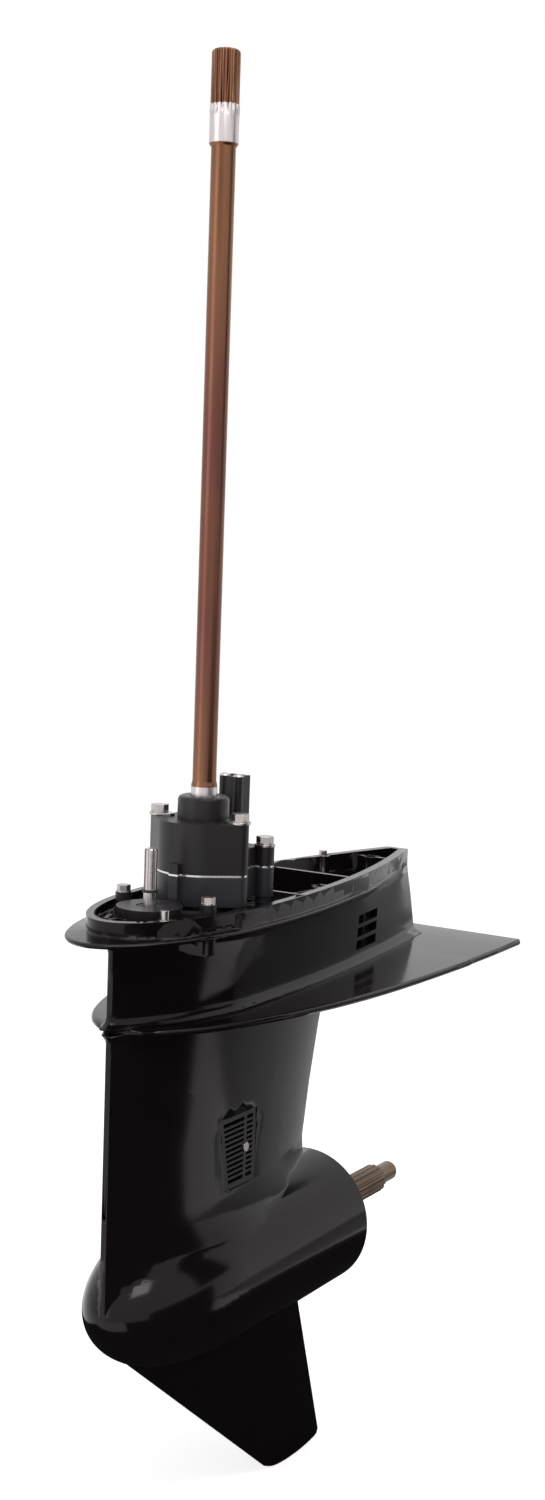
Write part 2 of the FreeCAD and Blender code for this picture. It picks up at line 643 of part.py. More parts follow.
front_room = common(
    "deck_room", feature("deck_room_inside", slab("deck", 1, value("deck_floor"), -value("deck_wall"))),
    box("deck_room_limit", ("deck_front-5", "-100", "deck_floor"), ("chamber_front-6", "100", "5")))
chamber = feature("exhaust_chamber", chamber_shape())
exhaust = feature("exhaust_passage", exhaust_shape())
louvres = [feature("louvre_" + side, louvre_shape(sign)) for side, sign in (("port", -1), ("starboard", 1))]
intakes = [feature("intake_pocket_" + side, grille_prism(value("grille_seat_depth"), 60, sign)
                   .fuse(grille_prism(value("intake_floor_depth"), 60, sign, value("grille_frame"))))
           for side, sign in (("port", -1), ("starboard", 1))]
bores = turned("torpedo_bores", [
    ("crank_bore_floor", "0"), ("crank_bore_floor", "crank_bore"), ("front_bearing_floor", "crank_bore"),
    ("front_bearing_floor", "front_bearing_bore"), ("gear_bore_front", "front_bearing_bore"),
    ("gear_bore_front", "gear_bore"), ("exhaust_step", "gear_bore"), ("exhaust_step", "exhaust_bore"),
    ("torpedo_rear+5", "exhaust_bore"), ("torpedo_rear+5", "0")], ON_PROP_AXIS, AFT)
shaft_bores = turned("drive_shaft_bores", [
    ("5", "0"), ("5", "pump_spigot_radius"), ("drive_shoulder-2", "pump_spigot_radius"),
    ("drive_shoulder-2", "shaft_bore"), ("-prop_axis_depth+gear_bore+0.5", "shaft_bore"),
    ("-prop_axis_depth+gear_bore+0.5", "pinion_relief"), ("-prop_axis_depth+gear_bore-10", "pinion_relief"),
    ("-prop_axis_depth+gear_bore-10", "0")])
shift_bore = cylinder("shift_bore", "shift_dia/2+running_gap", "prop_axis_depth-crank_bore+15",
                      ("shift_x", "0", "-prop_axis_depth+crank_bore-5"))
water_bore = box("water_riser", ("water_front", "-water_half", "grille_bottom+6"),
                 ("water_rear", "water_half", "2"))
water_cross = box("water_crossing", ("water_front", "-25", "grille_bottom+6"),
                  ("grille_rear-3", "25", "grille_top-6"))
pitot = cylinder("pitot_hole", "pitot_dia/2", "40", ("body_front-4", "0", "pitot_level"), AFT)
SIDES = (("port", "-"), ("starboard", ""))
PUMP_BOLTS = (("pump_boss_x", "-pump_boss_y", "pump_top"), ("pump_boss_x", "pump_boss_y", "pump_top"),
              ("pump_ear_x", "-pump_ear_y", "pump_ear_top"), ("pump_ear_x", "pump_ear_y", "pump_ear_top"))
COVER_BOLTS = (("shift_bolt_x", "-shift_bolt_y", "shift_boss_top"),
               ("shift_bolt_x", "shift_bolt_y", "shift_boss_top"))
DECK_BOLTS = (("inner_boss_x", "-inner_boss_y"), ("inner_boss_x", "inner_boss_y"),
              ("chamber_wall_two", "0"),
              ("front_bolt_x", "0"))

holes = [cylinder("deck_hole_%d" % index, "deck_bolt_dia/2", "60", (across, aside, "-50"))
         for index, (across, aside) in enumerate(DECK_BOLTS)]
holes += [cylinder("dowel_hole_%d" % index, "dowel_foot_dia/2", "dowel_length",
                   (across, aside, tall + "-dowel_length"))
          for index, (across, aside, tall) in enumerate(DOWELS)]
holes += [cylinder("pump_hole_%d" % index, "bolt_shank", "30", (across, aside, "pump_floor-bolt_depth"))
          for index, (across, aside, top) in enumerate(PUMP_BOLTS)]
holes += [cylinder("cover_hole_%d" % index, "shift_bolt_shank", "30",
                   (across, aside, "pump_floor-bolt_depth"))
          for index, (across, aside, top) in enumerate(COVER_BOLTS)]
for side, sign in SIDES:
    turn = TO_STARBOARD if side == "starboard" else TO_PORT
    holes.append(cylinder("screen_hole_" + side, "screen_screw_radius", "20",
                          ("screen_screw_x", sign + "(intake_floor_depth-6)", "screen_screw_level"), turn))
for name in ("drain", "level"):
    where = ("oil_" + name + "_x", "oil_" + name + "_seat", "oil_" + name + "_level")
    inside = ("oil_" + name + "_x", "oil_" + name + "_seat-oil_shank_length-1", "oil_" + name + "_level")
    holes.append(cylinder("oil_" + name + "_face", "oil_head_radius+1", "20", where, TO_STARBOARD))
    holes.append(cylinder("oil_" + name + "_hole", "oil_shank_radius", "oil_shank_length+2", inside,
                          TO_STARBOARD))
hollow_casting = cut("hollow_casting", casting_outside, front_room, chamber, exhaust, bores, shaft_bores,
                     shift_bore, water_bore, water_cross, pitot, *louvres, *intakes)
posts = common("chamber_posts", feature("posts", chamber_posts()), casting_outside)
housing = cut("gearcase", fuse("casting_with_posts", hollow_casting, posts), *holes)
node("gearcase_housing", housing)

# Drive shaft train

drive_body = turned("drive_shaft_turning", [
    ("drive_top", "0"), ("drive_top", "drive_spline_dia/2-1.6"), ("drive_top-1.6", "drive_spline_dia/2"),
    ("drive_spline_bottom", "drive_spline_dia/2"), ("drive_spline_bottom", "drive_journal_dia/2"),
    ("drive_journal_bottom", "drive_journal_dia/2"), ("drive_journal_bottom-3", "drive_neck_dia/2"),
    ("drive_ring_top+5", "drive_neck_dia/2"), ("drive_ring_top", "drive_ring_dia/2"),
    ("drive_ring_bottom", "drive_ring_dia/2"), ("drive_ring_bottom-1", "drive_shank_dia/2"),
    ("drive_shoulder", "drive_shank_dia/2"), ("drive_shoulder", "drive_body_dia/2"),
    ("pinion_seat_top", "drive_body_dia/2"), ("pinion_seat_top", "pinion_seat_dia/2"),
    ("pinion_seat_bottom", "pinion_seat_dia/2"), ("pinion_seat_bottom", "pinion_stub_dia/2"),
    ("pinion_stub_end+1", "pinion_stub_dia/2"), ("pinion_stub_end", "pinion_stub_dia/2-1"),
    ("pinion_stub_end", "0")])
fluted(drive_body, "drive_shaft", [
    ("drive_spline_dia/2-drive_groove_depth", "drive_top+1"), ("drive_spline_dia/2+2", "drive_top+1"),
    ("drive_spline_dia/2+2", "drive_spline_bottom-drive_runout*2"),
    ("drive_spline_dia/2-drive_groove_depth", "drive_spline_bottom")], "drive_groove_width",
       "drive_groove_count")
KEY_LOW = ("drive_shank_dia/2-2", "-impeller_key_width/2", "impeller_bottom+3")
KEY_HIGH = ("drive_shank_dia/2+2", "impeller_key_width/2", "impeller_bottom+3+impeller_key_length")
node("drive_shaft", cut("drive_shaft_keyed", drive_body, box("shaft_keyway", KEY_LOW, KEY_HIGH)))
node("impeller_key", box("key", KEY_LOW, KEY_HIGH))


def tapered_rollers(cone_radius, roller_radius, count, low, width, drop):
    """Rollers between two cone-shaped races, big end at the low side of the axis."""
    tilt = math.degrees(math.atan2(drop, width))
    gap = value("roller_gap")
    margin = value("roller_margin")
    length = (width - 2 * margin) / math.cos(math.radians(tilt))
    stand = (roller_radius + gap) / math.cos(math.radians(tilt))
    roller = Part.makeCylinder(roller_radius, length)
    roller.rotate(Vector(), Vector(0, 1, 0), -tilt)
    roller.translate(Vector(cone_radius - drop * margin / width + stand, 0, low + margin))
    rollers = []
    for index in range(int(count)):
        copy = roller.copy()
        copy.rotate(Vector(), Vector(0, 0, 1), 360 / count * index)
        rollers.append(copy)
    return Part.makeCompound(rollers)


def ball_set(pitch, radius, count, level):
    balls = []
    for index in range(int(count)):
        angle = 2 * math.pi * index / count
        balls.append(Part.makeSphere(radius,
                                     Vector(pitch * math.cos(angle), pitch * math.sin(angle), level)))
    return Part.makeCompound(balls)


def cup_inner(cone_radius, roller_radius):
    """Radius of the outer race at its big end: two rollers' worth of cone and two gaps."""
    slope = "sqrt(1+(taper_drop/forward_bearing_width)^2)"
    return "(" + cone_radius + "+2*(" + roller_radius + "+roller_gap)*" + slope + ")"


drive_cup_inner = cup_inner("drive_cone_radius", "drive_roller_radius")
bearing_end = "drive_shoulder+forward_bearing_width"
node("drive_shaft_bearing_cone", turned("drive_cone", [
    ("drive_shoulder", "drive_shank_dia/2"), ("drive_shoulder", "drive_cone_radius"),
    (bearing_end, "drive_cone_radius-taper_drop"), (bearing_end, "drive_shank_dia/2")]))
node("drive_shaft_bearing_rollers", feature("drive_rollers", tapered_rollers(
    value("drive_cone_radius"), value("drive_roller_radius"), value("drive_roller_count"),
    value("drive_shoulder"), value("forward_bearing_width"), value("taper_drop"))))
node("drive_shaft_bearing_cup", turned("drive_cup", [
    ("drive_shoulder-2", drive_cup_inner), ("drive_shoulder-2", "pump_spigot_radius"),
    (bearing_end, "pump_spigot_radius"), (bearing_end, drive_cup_inner + "-taper_drop"),
    ("drive_shoulder", drive_cup_inner)]))
node("drive_shaft_needle_bearing", ring(
    "drive_needles", "-prop_axis_depth+gear_bore+1", "-prop_axis_depth+gear_bore+1+needle_length",
    "drive_body_dia/2+running_gap", "shaft_bore"))


def bevel_teeth(teeth, mate, addendum, dedendum, phase):
    """Straight bevel teeth round Z, apex at the origin: involutes on the back cone, scaled to the apex."""
    module = value("gear_module")
    slant = math.hypot(teeth, mate)
    sine = teeth / slant
    cosine = mate / slant
    back = module * teeth / 2 / cosine
    pressure = math.radians(value("pressure_angle"))
    base = back * math.cos(pressure)
    half_pitch = (math.pi * module / 2 - value("gear_backlash") / 2) / (2 * back)
    spread = half_pitch + math.tan(pressure) - pressure

    def flank(radius, side):
        angle = math.acos(min(base / radius, 1.0))
        turn = spread - (math.tan(angle) - angle)
        out = radius * math.cos(turn) - back
        return Vector(module * teeth / 2 + out * cosine, side * radius * math.sin(turn),
                      module * mate / 2 - out * sine)

    root = back - dedendum
    tip = back + addendum
    start = max(base, root + 0.2)
    middle = (start + tip) / 2
    sunk = root - value("tooth_sink")
    edges = [Part.LineSegment(flank(sunk, -1), flank(start, -1)).toShape(),
             Part.Arc(flank(start, -1), flank(middle, -1), flank(tip, -1)).toShape(),
             Part.LineSegment(flank(tip, -1), flank(tip, 1)).toShape(),
             Part.Arc(flank(tip, 1), flank(middle, 1), flank(start, 1)).toShape(),
             Part.LineSegment(flank(start, 1), flank(sunk, 1)).toShape(),
             Part.LineSegment(flank(sunk, 1), flank(sunk, -1)).toShape()]
    large = Part.Wire(edges)
    small = large.copy()
    small.scale(value("face_share"), Vector())
    tooth = Part.makeLoft([large, small], True, True)
    ring_of_teeth = []
    for index in range(int(teeth)):
        copy = tooth.copy()
        copy.rotate(Vector(), Vector(0, 0, 1), phase + 360 / teeth * index)
        ring_of_teeth.append(copy)
    return Part.makeCompound(ring_of_teeth)


pinion_blank = turned("pinion_blank", [
    ("pinion_root_level*face_share", "pinion_seat_dia/2"),
    ("pinion_root_level*face_share", "pinion_root_radius*face_share"),
    ("pinion_root_level", "pinion_root_radius"),
    ("pinion_seat_top+prop_axis_depth", "pinion_root_radius-1.5"),
    ("pinion_seat_top+prop_axis_depth", "pinion_seat_dia/2")], ON_PROP_AXIS)
pinion_ring = feature("pinion_teeth", bevel_teeth(
    value("pinion_teeth"), value("gear_teeth"), value("gear_module*pinion_addendum"),
    value("pinion_dedendum"), 0),
    ON_PROP_AXIS)
node("pinion_gear", fuse("pinion", pinion_blank, pinion_ring))
nut_level = "pinion_root_level*face_share-prop_axis_depth-pinion_nut_height"
node("pinion_nut", cut("pinion_nut_solid",
                       hexagon("nut_hex", "pinion_nut_flats", "pinion_nut_height", ("0", "0", nut_level)),
                       cylinder("nut_bore", "pinion_stub_dia/2", "30", ("0", "0", nut_level + "-5"))))


def lug_ring(low, high, phase):
    """Dog lugs round the Z axis."""
    lugs = []
    for index in range(int(value("lug_count"))):
        lug = Part.makeCylinder(value("lug_outer"), high - low, Vector(0, 0, low), Vector(0, 0, 1),
                                value("lug_angle"))
        lug.rotate(Vector(), Vector(0, 0, 1),
                   phase + 360 / value("lug_count") * index - value("lug_angle") / 2)
        lugs.append(lug)
    whole = lugs[0].multiFuse(lugs[1:])
    return whole.cut(Part.makeCylinder(value("lug_inner"), high - low + 2, Vector(0, 0, low - 1)))


def driven_gear(name, hub_end, turn, phase):
    """One of the two large bevel gears on the propeller shaft, with lugs for the dog clutch."""
    bore = "prop_gear_dia/2+running_gap"
    blank = turned(name + "_blank", [
        ("lug_root", bore), ("lug_root", "lug_outer+0.5"), ("gear_web_front", "lug_outer+2"),
        ("gear_root_level*face_share", "gear_root_radius*face_share"),
        ("gear_root_level", "gear_root_radius"),
        ("gear_web_back", "gear_root_radius"), ("gear_web_back+1", "gear_hub_dia/2+3"),
        ("gear_web_back+2", "gear_hub_dia/2+3"), ("gear_web_back+2", "gear_hub_dia/2"),
        (hub_end, "gear_hub_dia/2"), (hub_end, bore)], ON_PROP_AXIS, turn)
    teeth = feature(name + "_teeth", bevel_teeth(
        value("gear_teeth"), value("pinion_teeth"), value("gear_module*gear_addendum"),
        value("gear_dedendum"), phase),
        ON_PROP_AXIS, turn)
    lugs = feature(name + "_lugs", lug_ring(value("lug_tip"), value("lug_root") + 0.5, 0), ON_PROP_AXIS,
                   turn)
    return node(name, fuse(name + "_solid", blank, teeth, lugs))


driven_gear("forward_gear", "forward_hub_end", FORE, 0)
driven_gear("reverse_gear", "reverse_hub_end", AFT, 180 / value("gear_teeth"))

# Bearings on the propeller shaft

cone_front = "gear_web_back+2"
cone_end = "gear_web_back+2+forward_bearing_width"
forward_cup_inner = cup_inner("forward_cone_radius", "forward_roller_radius")
node("forward_gear_bearing_cone", turned("forward_cone", [
    (cone_front, "gear_hub_dia/2"), (cone_front, "forward_cone_radius"),
    (cone_end, "forward_cone_radius-taper_drop"), (cone_end, "gear_hub_dia/2")], ON_PROP_AXIS, FORE))
node("forward_gear_bearing_rollers", feature("forward_rollers", tapered_rollers(
    value("forward_cone_radius"), value("forward_roller_radius"), value("forward_roller_count"),
    value(cone_front), value("forward_bearing_width"), value("taper_drop")), ON_PROP_AXIS, FORE))
node("forward_gear_bearing_cup", turned("forward_cup", [
    (cone_front + "+1", forward_cup_inner), (cone_front + "+1", "front_bearing_bore"),
    ("-front_bearing_floor", "front_bearing_bore"),
    ("-front_bearing_floor", forward_cup_inner + "-taper_drop-0.3"),
    (cone_end, forward_cup_inner + "-taper_drop")], ON_PROP_AXIS, FORE))
race_middle = (value("gear_hub_dia/2") + value("reverse_race_outer")) / 2
ball_radius = race_middle - value("gear_hub_dia/2") - value("reverse_race_wall") + 1
ball_level = value("reverse_bearing_front+reverse_bearing_rear") / 2
for name, inner, outer in (("reverse_gear_bearing_inner", "gear_hub_dia/2",
                            "gear_hub_dia/2+reverse_race_wall"),
                           ("reverse_gear_bearing_outer", "reverse_race_outer-reverse_race_wall",
                            "reverse_race_outer")):
    race = ring(name + "_blank", "reverse_bearing_front", "reverse_bearing_rear", inner, outer,
                ON_PROP_AXIS, AFT)
    track = feature(name + "_track", Part.makeTorus(race_middle, ball_radius + value("running_gap"),
                                                    Vector(0, 0, ball_level)), ON_PROP_AXIS, AFT)
    node(name, cut(name + "_race", race, track))
node("reverse_gear_bearing_balls", feature("balls",
                                           ball_set(race_middle, ball_radius, value("ball_count"),
                                                    ball_level),
                                           ON_PROP_AXIS, AFT))

# Propeller shaft, dog clutch and its plunger

prop_body = turned("prop_shaft_turning", [
    ("prop_front", "0"), ("prop_front", "prop_gear_dia/2-1"), ("prop_front+1", "prop_gear_dia/2"),
    ("reverse_hub_end+5", "prop_gear_dia/2"), ("reverse_hub_end+5", "prop_carrier_dia/2"),
    ("prop_taper_start", "prop_carrier_dia/2"), ("prop_taper_start", "prop_taper_dia/2"),
    ("prop_taper_start+4", "prop_taper_dia/2"), ("prop_taper_end", "prop_spline_dia/2"),
    ("prop_spline_end-1.5", "prop_spline_dia/2"), ("prop_spline_end", "prop_spline_dia/2-1.5"),
    ("prop_spline_end", "prop_stub_dia/2"), ("prop_tip-4", "prop_stub_dia/2"),
    ("prop_tip-1.2", "prop_stub_dia/2-1.5"), ("prop_tip", "prop_stub_dia/2-4"), ("prop_tip", "0")],
    ON_PROP_AXIS, AFT)
fluted(prop_body, "prop_shaft", [
    ("prop_spline_dia/2-prop_groove_depth", "prop_taper_end"),
    ("prop_spline_dia/2+2", "prop_taper_end-prop_runout"),
    ("prop_spline_dia/2+2", "prop_spline_end+1"),
    ("prop_spline_dia/2-prop_groove_depth", "prop_spline_end+1")],
    "prop_groove_width", "prop_groove_count")
fluted(prop_body, "clutch_seat", [
    ("prop_gear_dia/2-clutch_groove_depth", "-lug_root+0.2"), ("prop_gear_dia/2+2", "-lug_root+0.2"),
    ("prop_gear_dia/2+2", "lug_root-0.2"), ("prop_gear_dia/2-clutch_groove_depth", "lug_root-0.2")],
    "clutch_groove_width", "clutch_spline_count")
pin_reach = "clutch_pin_dia/2+clutch_travel+loose_gap"
node("prop_shaft", cut(
    "prop_shaft_bored", prop_body,
    cylinder("plunger_bore", "prop_bore_dia/2", "prop_bore_end-prop_front+2",
             ("prop_front-2", "0", "-prop_axis_depth"), AFT),
    box("pin_slot", ("-(" + pin_reach + ")", "-20", "-prop_axis_depth-clutch_pin_dia/2-0.15"),
        (pin_reach, "20", "-prop_axis_depth+clutch_pin_dia/2+0.15"))))


def clutch_teeth():
    """Inner spline teeth of the clutch, one in every groove of the shaft."""
    width = value("clutch_groove_width-2*spline_gap")
    inner = value("prop_gear_dia/2-clutch_groove_depth+spline_gap")
    half = value("clutch_web_half")
    teeth = []
    for index in range(int(value("clutch_spline_count"))):
        tooth = Part.makeBox(value("clutch_tooth_reach"), width, 2 * half, Vector(inner, -width / 2, -half))
        tooth.rotate(Vector(), Vector(0, 0, 1), 360 / value("clutch_spline_count") * index)
        teeth.append(tooth)
    return teeth[0].multiFuse(teeth[1:])


clutch_plain = cut(
    "clutch_plain",
    fuse("clutch_blank", cylinder("clutch_web", "lug_outer", "2*clutch_web_half",
                                  ("-clutch_web_half", "0", "-prop_axis_depth"), AFT),
         feature("clutch_lugs_rear", lug_ring(0, value("clutch_half"), 180 / value("lug_count")),
                 ON_PROP_AXIS, AFT),
         feature("clutch_lugs_front", lug_ring(0, value("clutch_half"), 180 / value("lug_count")),
                 ON_PROP_AXIS, FORE)),
    cylinder("clutch_bore", "prop_gear_dia/2+spline_gap", "40", ("-20", "0", "-prop_axis_depth"), AFT),
    ring("clutch_groove", "-ring_spring_wire-0.2", "ring_spring_wire+0.2",
         "ring_spring_radius-ring_spring_wire",
         "lug_outer+1", ON_PROP_AXIS, AFT))
pin_length = "ring_spring_radius-ring_spring_wire-running_gap*4"
pin_where = ("0", "-(" + pin_length + ")", "-prop_axis_depth")
node("clutch_dog", cut(
    "clutch", fuse("clutch_splined", clutch_plain,
                   feature("clutch_teeth", clutch_teeth(), ON_PROP_AXIS, AFT)),
    cylinder("clutch_pin_hole", "clutch_pin_dia/2", "60", ("0", "-30", "-prop_axis_depth"), TO_STARBOARD)))
node("clutch_pin", cylinder("clutch_pin_rod", "clutch_pin_dia/2", "2*(" + pin_length + ")", pin_where,
                            TO_STARBOARD))
spring_ring = doc.addObject("Part::Torus", "ring_spring")
bind_all(spring_ring, Radius1="ring_spring_radius", Radius2="ring_spring_wire")
node("clutch_ring_spring", place(spring_ring, ON_PROP_AXIS, AFT))
head_front = "plunger_front+3"
node("clutch_plunger", cut(
    "plunger", cylinder("plunger_rod", "prop_bore_dia/2-2*running_gap", "5-plunger_front",
                        ("plunger_front", "0", "-prop_axis_depth"), AFT),
    box("plunger_neck_slot", ("plunger_front-1", "-slider_dia/2-0.25",
                              "-prop_axis_depth-slider_dia/2-0.25"),
        (head_front + "+0.1", "20", "-prop_axis_depth+slider_dia/2+0.25")),
    box("plunger_head_slot", (head_front, "-slider_head_dia/2-0.25",
                              "-prop_axis_depth-slider_head_dia/2-0.25"),
        (head_front + "+4", "20", "-prop_axis_depth+slider_head_dia/2+0.25")),
    cylinder("plunger_pin_hole", "clutch_pin_dia/2", "60", ("0", "-30", "-prop_axis_depth"), TO_STARBOARD)))

# Shift linkage

shift_body = turned("shift_shaft_turning", [
    ("shift_top", "0"), ("shift_top", "shift_dia/2-1"), ("shift_top-1", "shift_dia/2"),
    ("crank_level", "shift_dia/2"), ("crank_level", "0")], ("shift_x", "0", "0"))
node("shift_shaft", fluted(shift_body, "shift_shaft", [
    ("shift_dia/2-shift_groove_depth", "shift_top+1"), ("shift_dia/2+1", "shift_top+1"),
    ("shift_dia/2+1", "shift_spline_bottom-2"), ("shift_dia/2-shift_groove_depth", "shift_spline_bottom")],
    "shift_groove_width", "shift_groove_count"))
node("shift_shaft_o_ring", ring("shift_ring", "shift_ring_level", "shift_ring_level+2.2", "shift_dia/2",
                                "shift_dia/2+1.1",
                                ("shift_x", "0", "0")))
node("shift_crank", cut(
    "crank", fuse("crank_blank", cylinder("crank_plate", "crank_radius", "crank_thick",
                                          ("shift_x", "0", "crank_level")),
                  cylinder("crank_hub", "shift_dia/2+3", "crank_thick+5", ("shift_x", "0", "crank_level")),
                  cylinder("crank_pin", "crank_pin_dia/2", "yoke_thick+1",
                           ("shift_x", "-crank_throw", "crank_level-yoke_thick"))),
    cylinder("crank_bore", "shift_dia/2", "30", ("shift_x", "0", "crank_level"))))
slot_low = "-crank_throw-crank_pin_dia/2-0.3"
slot_high = "-crank_throw+crank_pin_dia/2+1.6"
yoke_half = "crank_pin_dia/2+5"
node("shift_slider", cut(
    "slider", fuse("slider_blank",
                   box("slider_yoke", ("shift_x-(" + yoke_half + ")", slot_low + "-2",
                                       "-prop_axis_depth-yoke_thick/2"),
                       ("shift_x+" + yoke_half, "slider_dia/2+3", "-prop_axis_depth+yoke_thick/2")),
                   cylinder("slider_rod", "slider_dia/2", "plunger_front+4-shift_x",
                            ("shift_x", "0", "-prop_axis_depth"), AFT),
                   cylinder("slider_head", "slider_head_dia/2", "3.5",
                            ("plunger_front+3.25", "0", "-prop_axis_depth"), AFT)),
    box("slider_slot", ("shift_x-crank_pin_dia/2-0.3", slot_low, "-prop_axis_depth-20"),
        ("shift_x+crank_pin_dia/2+0.3", slot_high, "-prop_axis_depth+20"))))


def cover_arms():
    """Flat arms that tie the bolt bosses to the disc round the shift shaft."""
    arms = []
    half = value("cover_arm_half")
    thick = value("cover_arm_thick")
    for across, aside, top in COVER_BOLTS:
        run = value(across) - value("shift_x")
        arm = Part.makeBox(math.hypot(run, value(aside)), 2 * half, thick, Vector(0, -half, 0))
        arm.rotate(Vector(), Vector(0, 0, 1), math.degrees(math.atan2(value(aside), run)))
        arm.translate(Vector(value("shift_x"), 0, value("pump_floor")))
        arms.append(arm)
    return arms[0].fuse(arms[1])


cover_pieces = [cylinder("cover_disc", "shift_cover_radius", "shift_cover_top-pump_floor",
                         ("shift_x", "0", "pump_floor")),
                feature("cover_arms", cover_arms())]
cover_pieces += [cylinder("cover_boss_%d" % index, "shift_boss_radius", top + "-pump_floor",
                          (across, aside, "pump_floor"))
                 for index, (across, aside, top) in enumerate(COVER_BOLTS)]
cover_holes = [cylinder("cover_bolt_hole_%d" % index, "shift_bolt_shank", "60", (across, aside, "-30"))
               for index, (across, aside, top) in enumerate(COVER_BOLTS)]
node("shift_cover_plate", cut(
    "cover", fuse("cover_blank", *cover_pieces), *cover_holes,
    cylinder("cover_shaft_hole", "shift_dia/2+running_gap", "60", ("shift_x", "0", "-30")),
    cylinder("cover_recess", "shift_recess_radius", "20",
             ("shift_x", "0", "shift_cover_top-shift_recess_depth"))))
node("shift_shaft_seal", ring("shift_seal", "shift_cover_top-shift_recess_depth", "shift_cover_top-0.5",
                              "shift_dia/2+running_gap", "shift_recess_radius", ("shift_x", "0", "0")))


def hex_bolt(name, where, flats, head, shank, length):
    """Hexagon flange bolt standing on the point given, shank down."""
    across, aside, seat = where
    return fuse(name, hexagon(name + "_head", flats, head, (across, aside, seat)),
                cylinder(name + "_flange", "(" + flats + ")/2+0.9", "1.2", (across, aside, seat)),
                cylinder(name + "_shank", shank, length, (across, aside, seat + "-(" + length + ")")))


node("shift_cover_bolts", group("cover_bolt_set", [
    hex_bolt("cover_bolt_%d" % index, where, "shift_bolt_flats", "shift_bolt_height", "shift_bolt_shank",
             where[2] + "-pump_floor+bolt_depth-2")
    for index, where in enumerate(COVER_BOLTS)]))

# Water pump


def tangent_hull(one, two, low, high):
    """Upright block round two circles (x, y, radius) and the straight sides that touch both."""
    run = Vector(two[0] - one[0], two[1] - one[1], 0)
    along = math.atan2(run.y, run.x)
    lean = math.acos((one[2] - two[2]) / run.Length)
    corners = []
    for circle, side in ((one, 1), (two, 1), (two, -1), (one, -1)):
        angle = along + side * lean
        corners.append(Vector(circle[0] + circle[2] * math.cos(angle),
                              circle[1] + circle[2] * math.sin(angle), low))
    middle = Part.Face(Part.makePolygon(corners + corners[:1])).extrude(Vector(0, 0, high - low))
    rounds = [Part.makeCylinder(radius, high - low, Vector(across, aside, low)) for across, aside,
              radius in (one, two)]
    return middle.multiFuse(rounds)


def pump_plan(name, low, high, ear_high):
    """Plan shape that the halves of the pump share: a drum drawn out to two bolts, rear ears and a web."""
    bottom = value(low)
    drum = (0, 0, value("pump_radius"))
    across = value("pump_boss_x")
    aside = value("pump_boss_y")
    bolt = value("pump_boss_radius")
    sides = [tangent_hull(drum, (across, sign * aside, bolt), bottom, value(high)) for sign in (-1, 1)]
    pieces = [feature(name + "_drum", sides[0].fuse(sides[1])),
              box(name + "_web", ("pump_radius/2", "-pump_ear_y+4", low),
                  ("pump_ear_x+4", "pump_ear_y-4", ear_high))]
    for side, sign in SIDES:
        pieces.append(cylinder(name + "_ear_" + side, "pump_ear_radius", "(" + ear_high + ")-(" + low + ")",
                               ("pump_ear_x", sign + "pump_ear_y", low)))
    return pieces


def pump_rib(name, low, high):
    """Upright rib on the front of the drum."""
    return box(name + "_rib", ("-pump_radius-pump_rib_out", "-pump_rib_width/2", low),
               ("-pump_radius+pump_rib_out", "pump_rib_width/2", high))


def bolt_clearance(name, low, high):
    return [cylinder(name + "_bolt_way_%d" % index, "bolt_shank+bolt_gap", "(" + high + ")-(" + low + ")",
                     (across, aside, low))
            for index, (across, aside, top) in enumerate(PUMP_BOLTS)]


lower_pump = fuse(
    "lower_pump_blank", *pump_plan("lower_pump", "pump_base", "pump_split", "pump_split"),
    pump_rib("lower_pump", "pump_base", "pump_split"),
    cylinder("lower_pump_foot", "pump_foot_radius", "pump_base-pump_floor", ("0", "0", "pump_floor")),
    *[cylinder("lower_pump_leg_%d" % index, "bolt_shank+3", "pump_base-pump_floor",
               (across, aside, "pump_floor"))
      for index, (across, aside, top) in enumerate(PUMP_BOLTS)],
    cylinder("lower_pump_spigot", "pump_spigot_radius", "pump_floor-(" + bearing_end + ")",
             ("0", "0", bearing_end)))
node("lower_pump_housing", cut(
    "lower_pump", lower_pump, *bolt_clearance("lower_pump", "pump_floor-1", "pump_split+1"),
    cylinder("lower_pump_bore", "drive_shank_dia/2+0.6", "200", ("0", "0", "-100")),
    cylinder("lower_pump_seal_seat", "pump_seal_radius", "100", ("0", "0", "-100+pump_seal_top")),
    box("lower_pump_inlet", ("water_front+1", "-9", "pump_floor-1"), ("pump_radius", "9", "12")),
    box("lower_pump_port", ("19", "-8", "4"), ("pump_radius", "8", "pump_split+1"))))
node("drive_shaft_seals", ring("pump_seals", "pump_seal_top-16", "pump_seal_top",
                               "drive_shank_dia/2+running_gap", "pump_seal_radius"))
layers = (("pump_gasket", "pump_split", "pump_split+pump_gasket_thick"),
          ("pump_wear_plate", "pump_split+pump_gasket_thick", "pump_plate_level"))
for name, low, high in layers:
    sheet_metal = fuse(name + "_blank", *pump_plan(name, low, high, high), pump_rib(name, low, high))
    node(name, cut(name + "_cut", sheet_metal, *bolt_clearance(name, low + "-1", high + "+1"),
                   cylinder(name + "_bore", "drive_shank_dia/2+0.6", "200", ("0", "0", "-100")),
                   box(name + "_port", ("20", "-7", low + "-1"),
                       ("pump_cavity_radius-3", "7", high + "+1"))))
upper_pump = fuse(
    "upper_pump_blank", *pump_plan("upper_pump", "pump_plate_level", "pump_top", "pump_ear_top"),
    pump_rib("upper_pump", "pump_plate_level", "pump_rib_top"),
    turned("upper_pump_collar", [("pump_top-2", "0"), ("pump_top-2", "pump_collar_radius"),
                                 ("pump_collar_top-collar_round", "pump_collar_radius"),
                                 ("pump_collar_top-collar_round/3", "pump_collar_radius-collar_round/3"),
                                 ("pump_collar_top", "pump_collar_radius-collar_round"),
                                 ("pump_collar_top", "0")]))
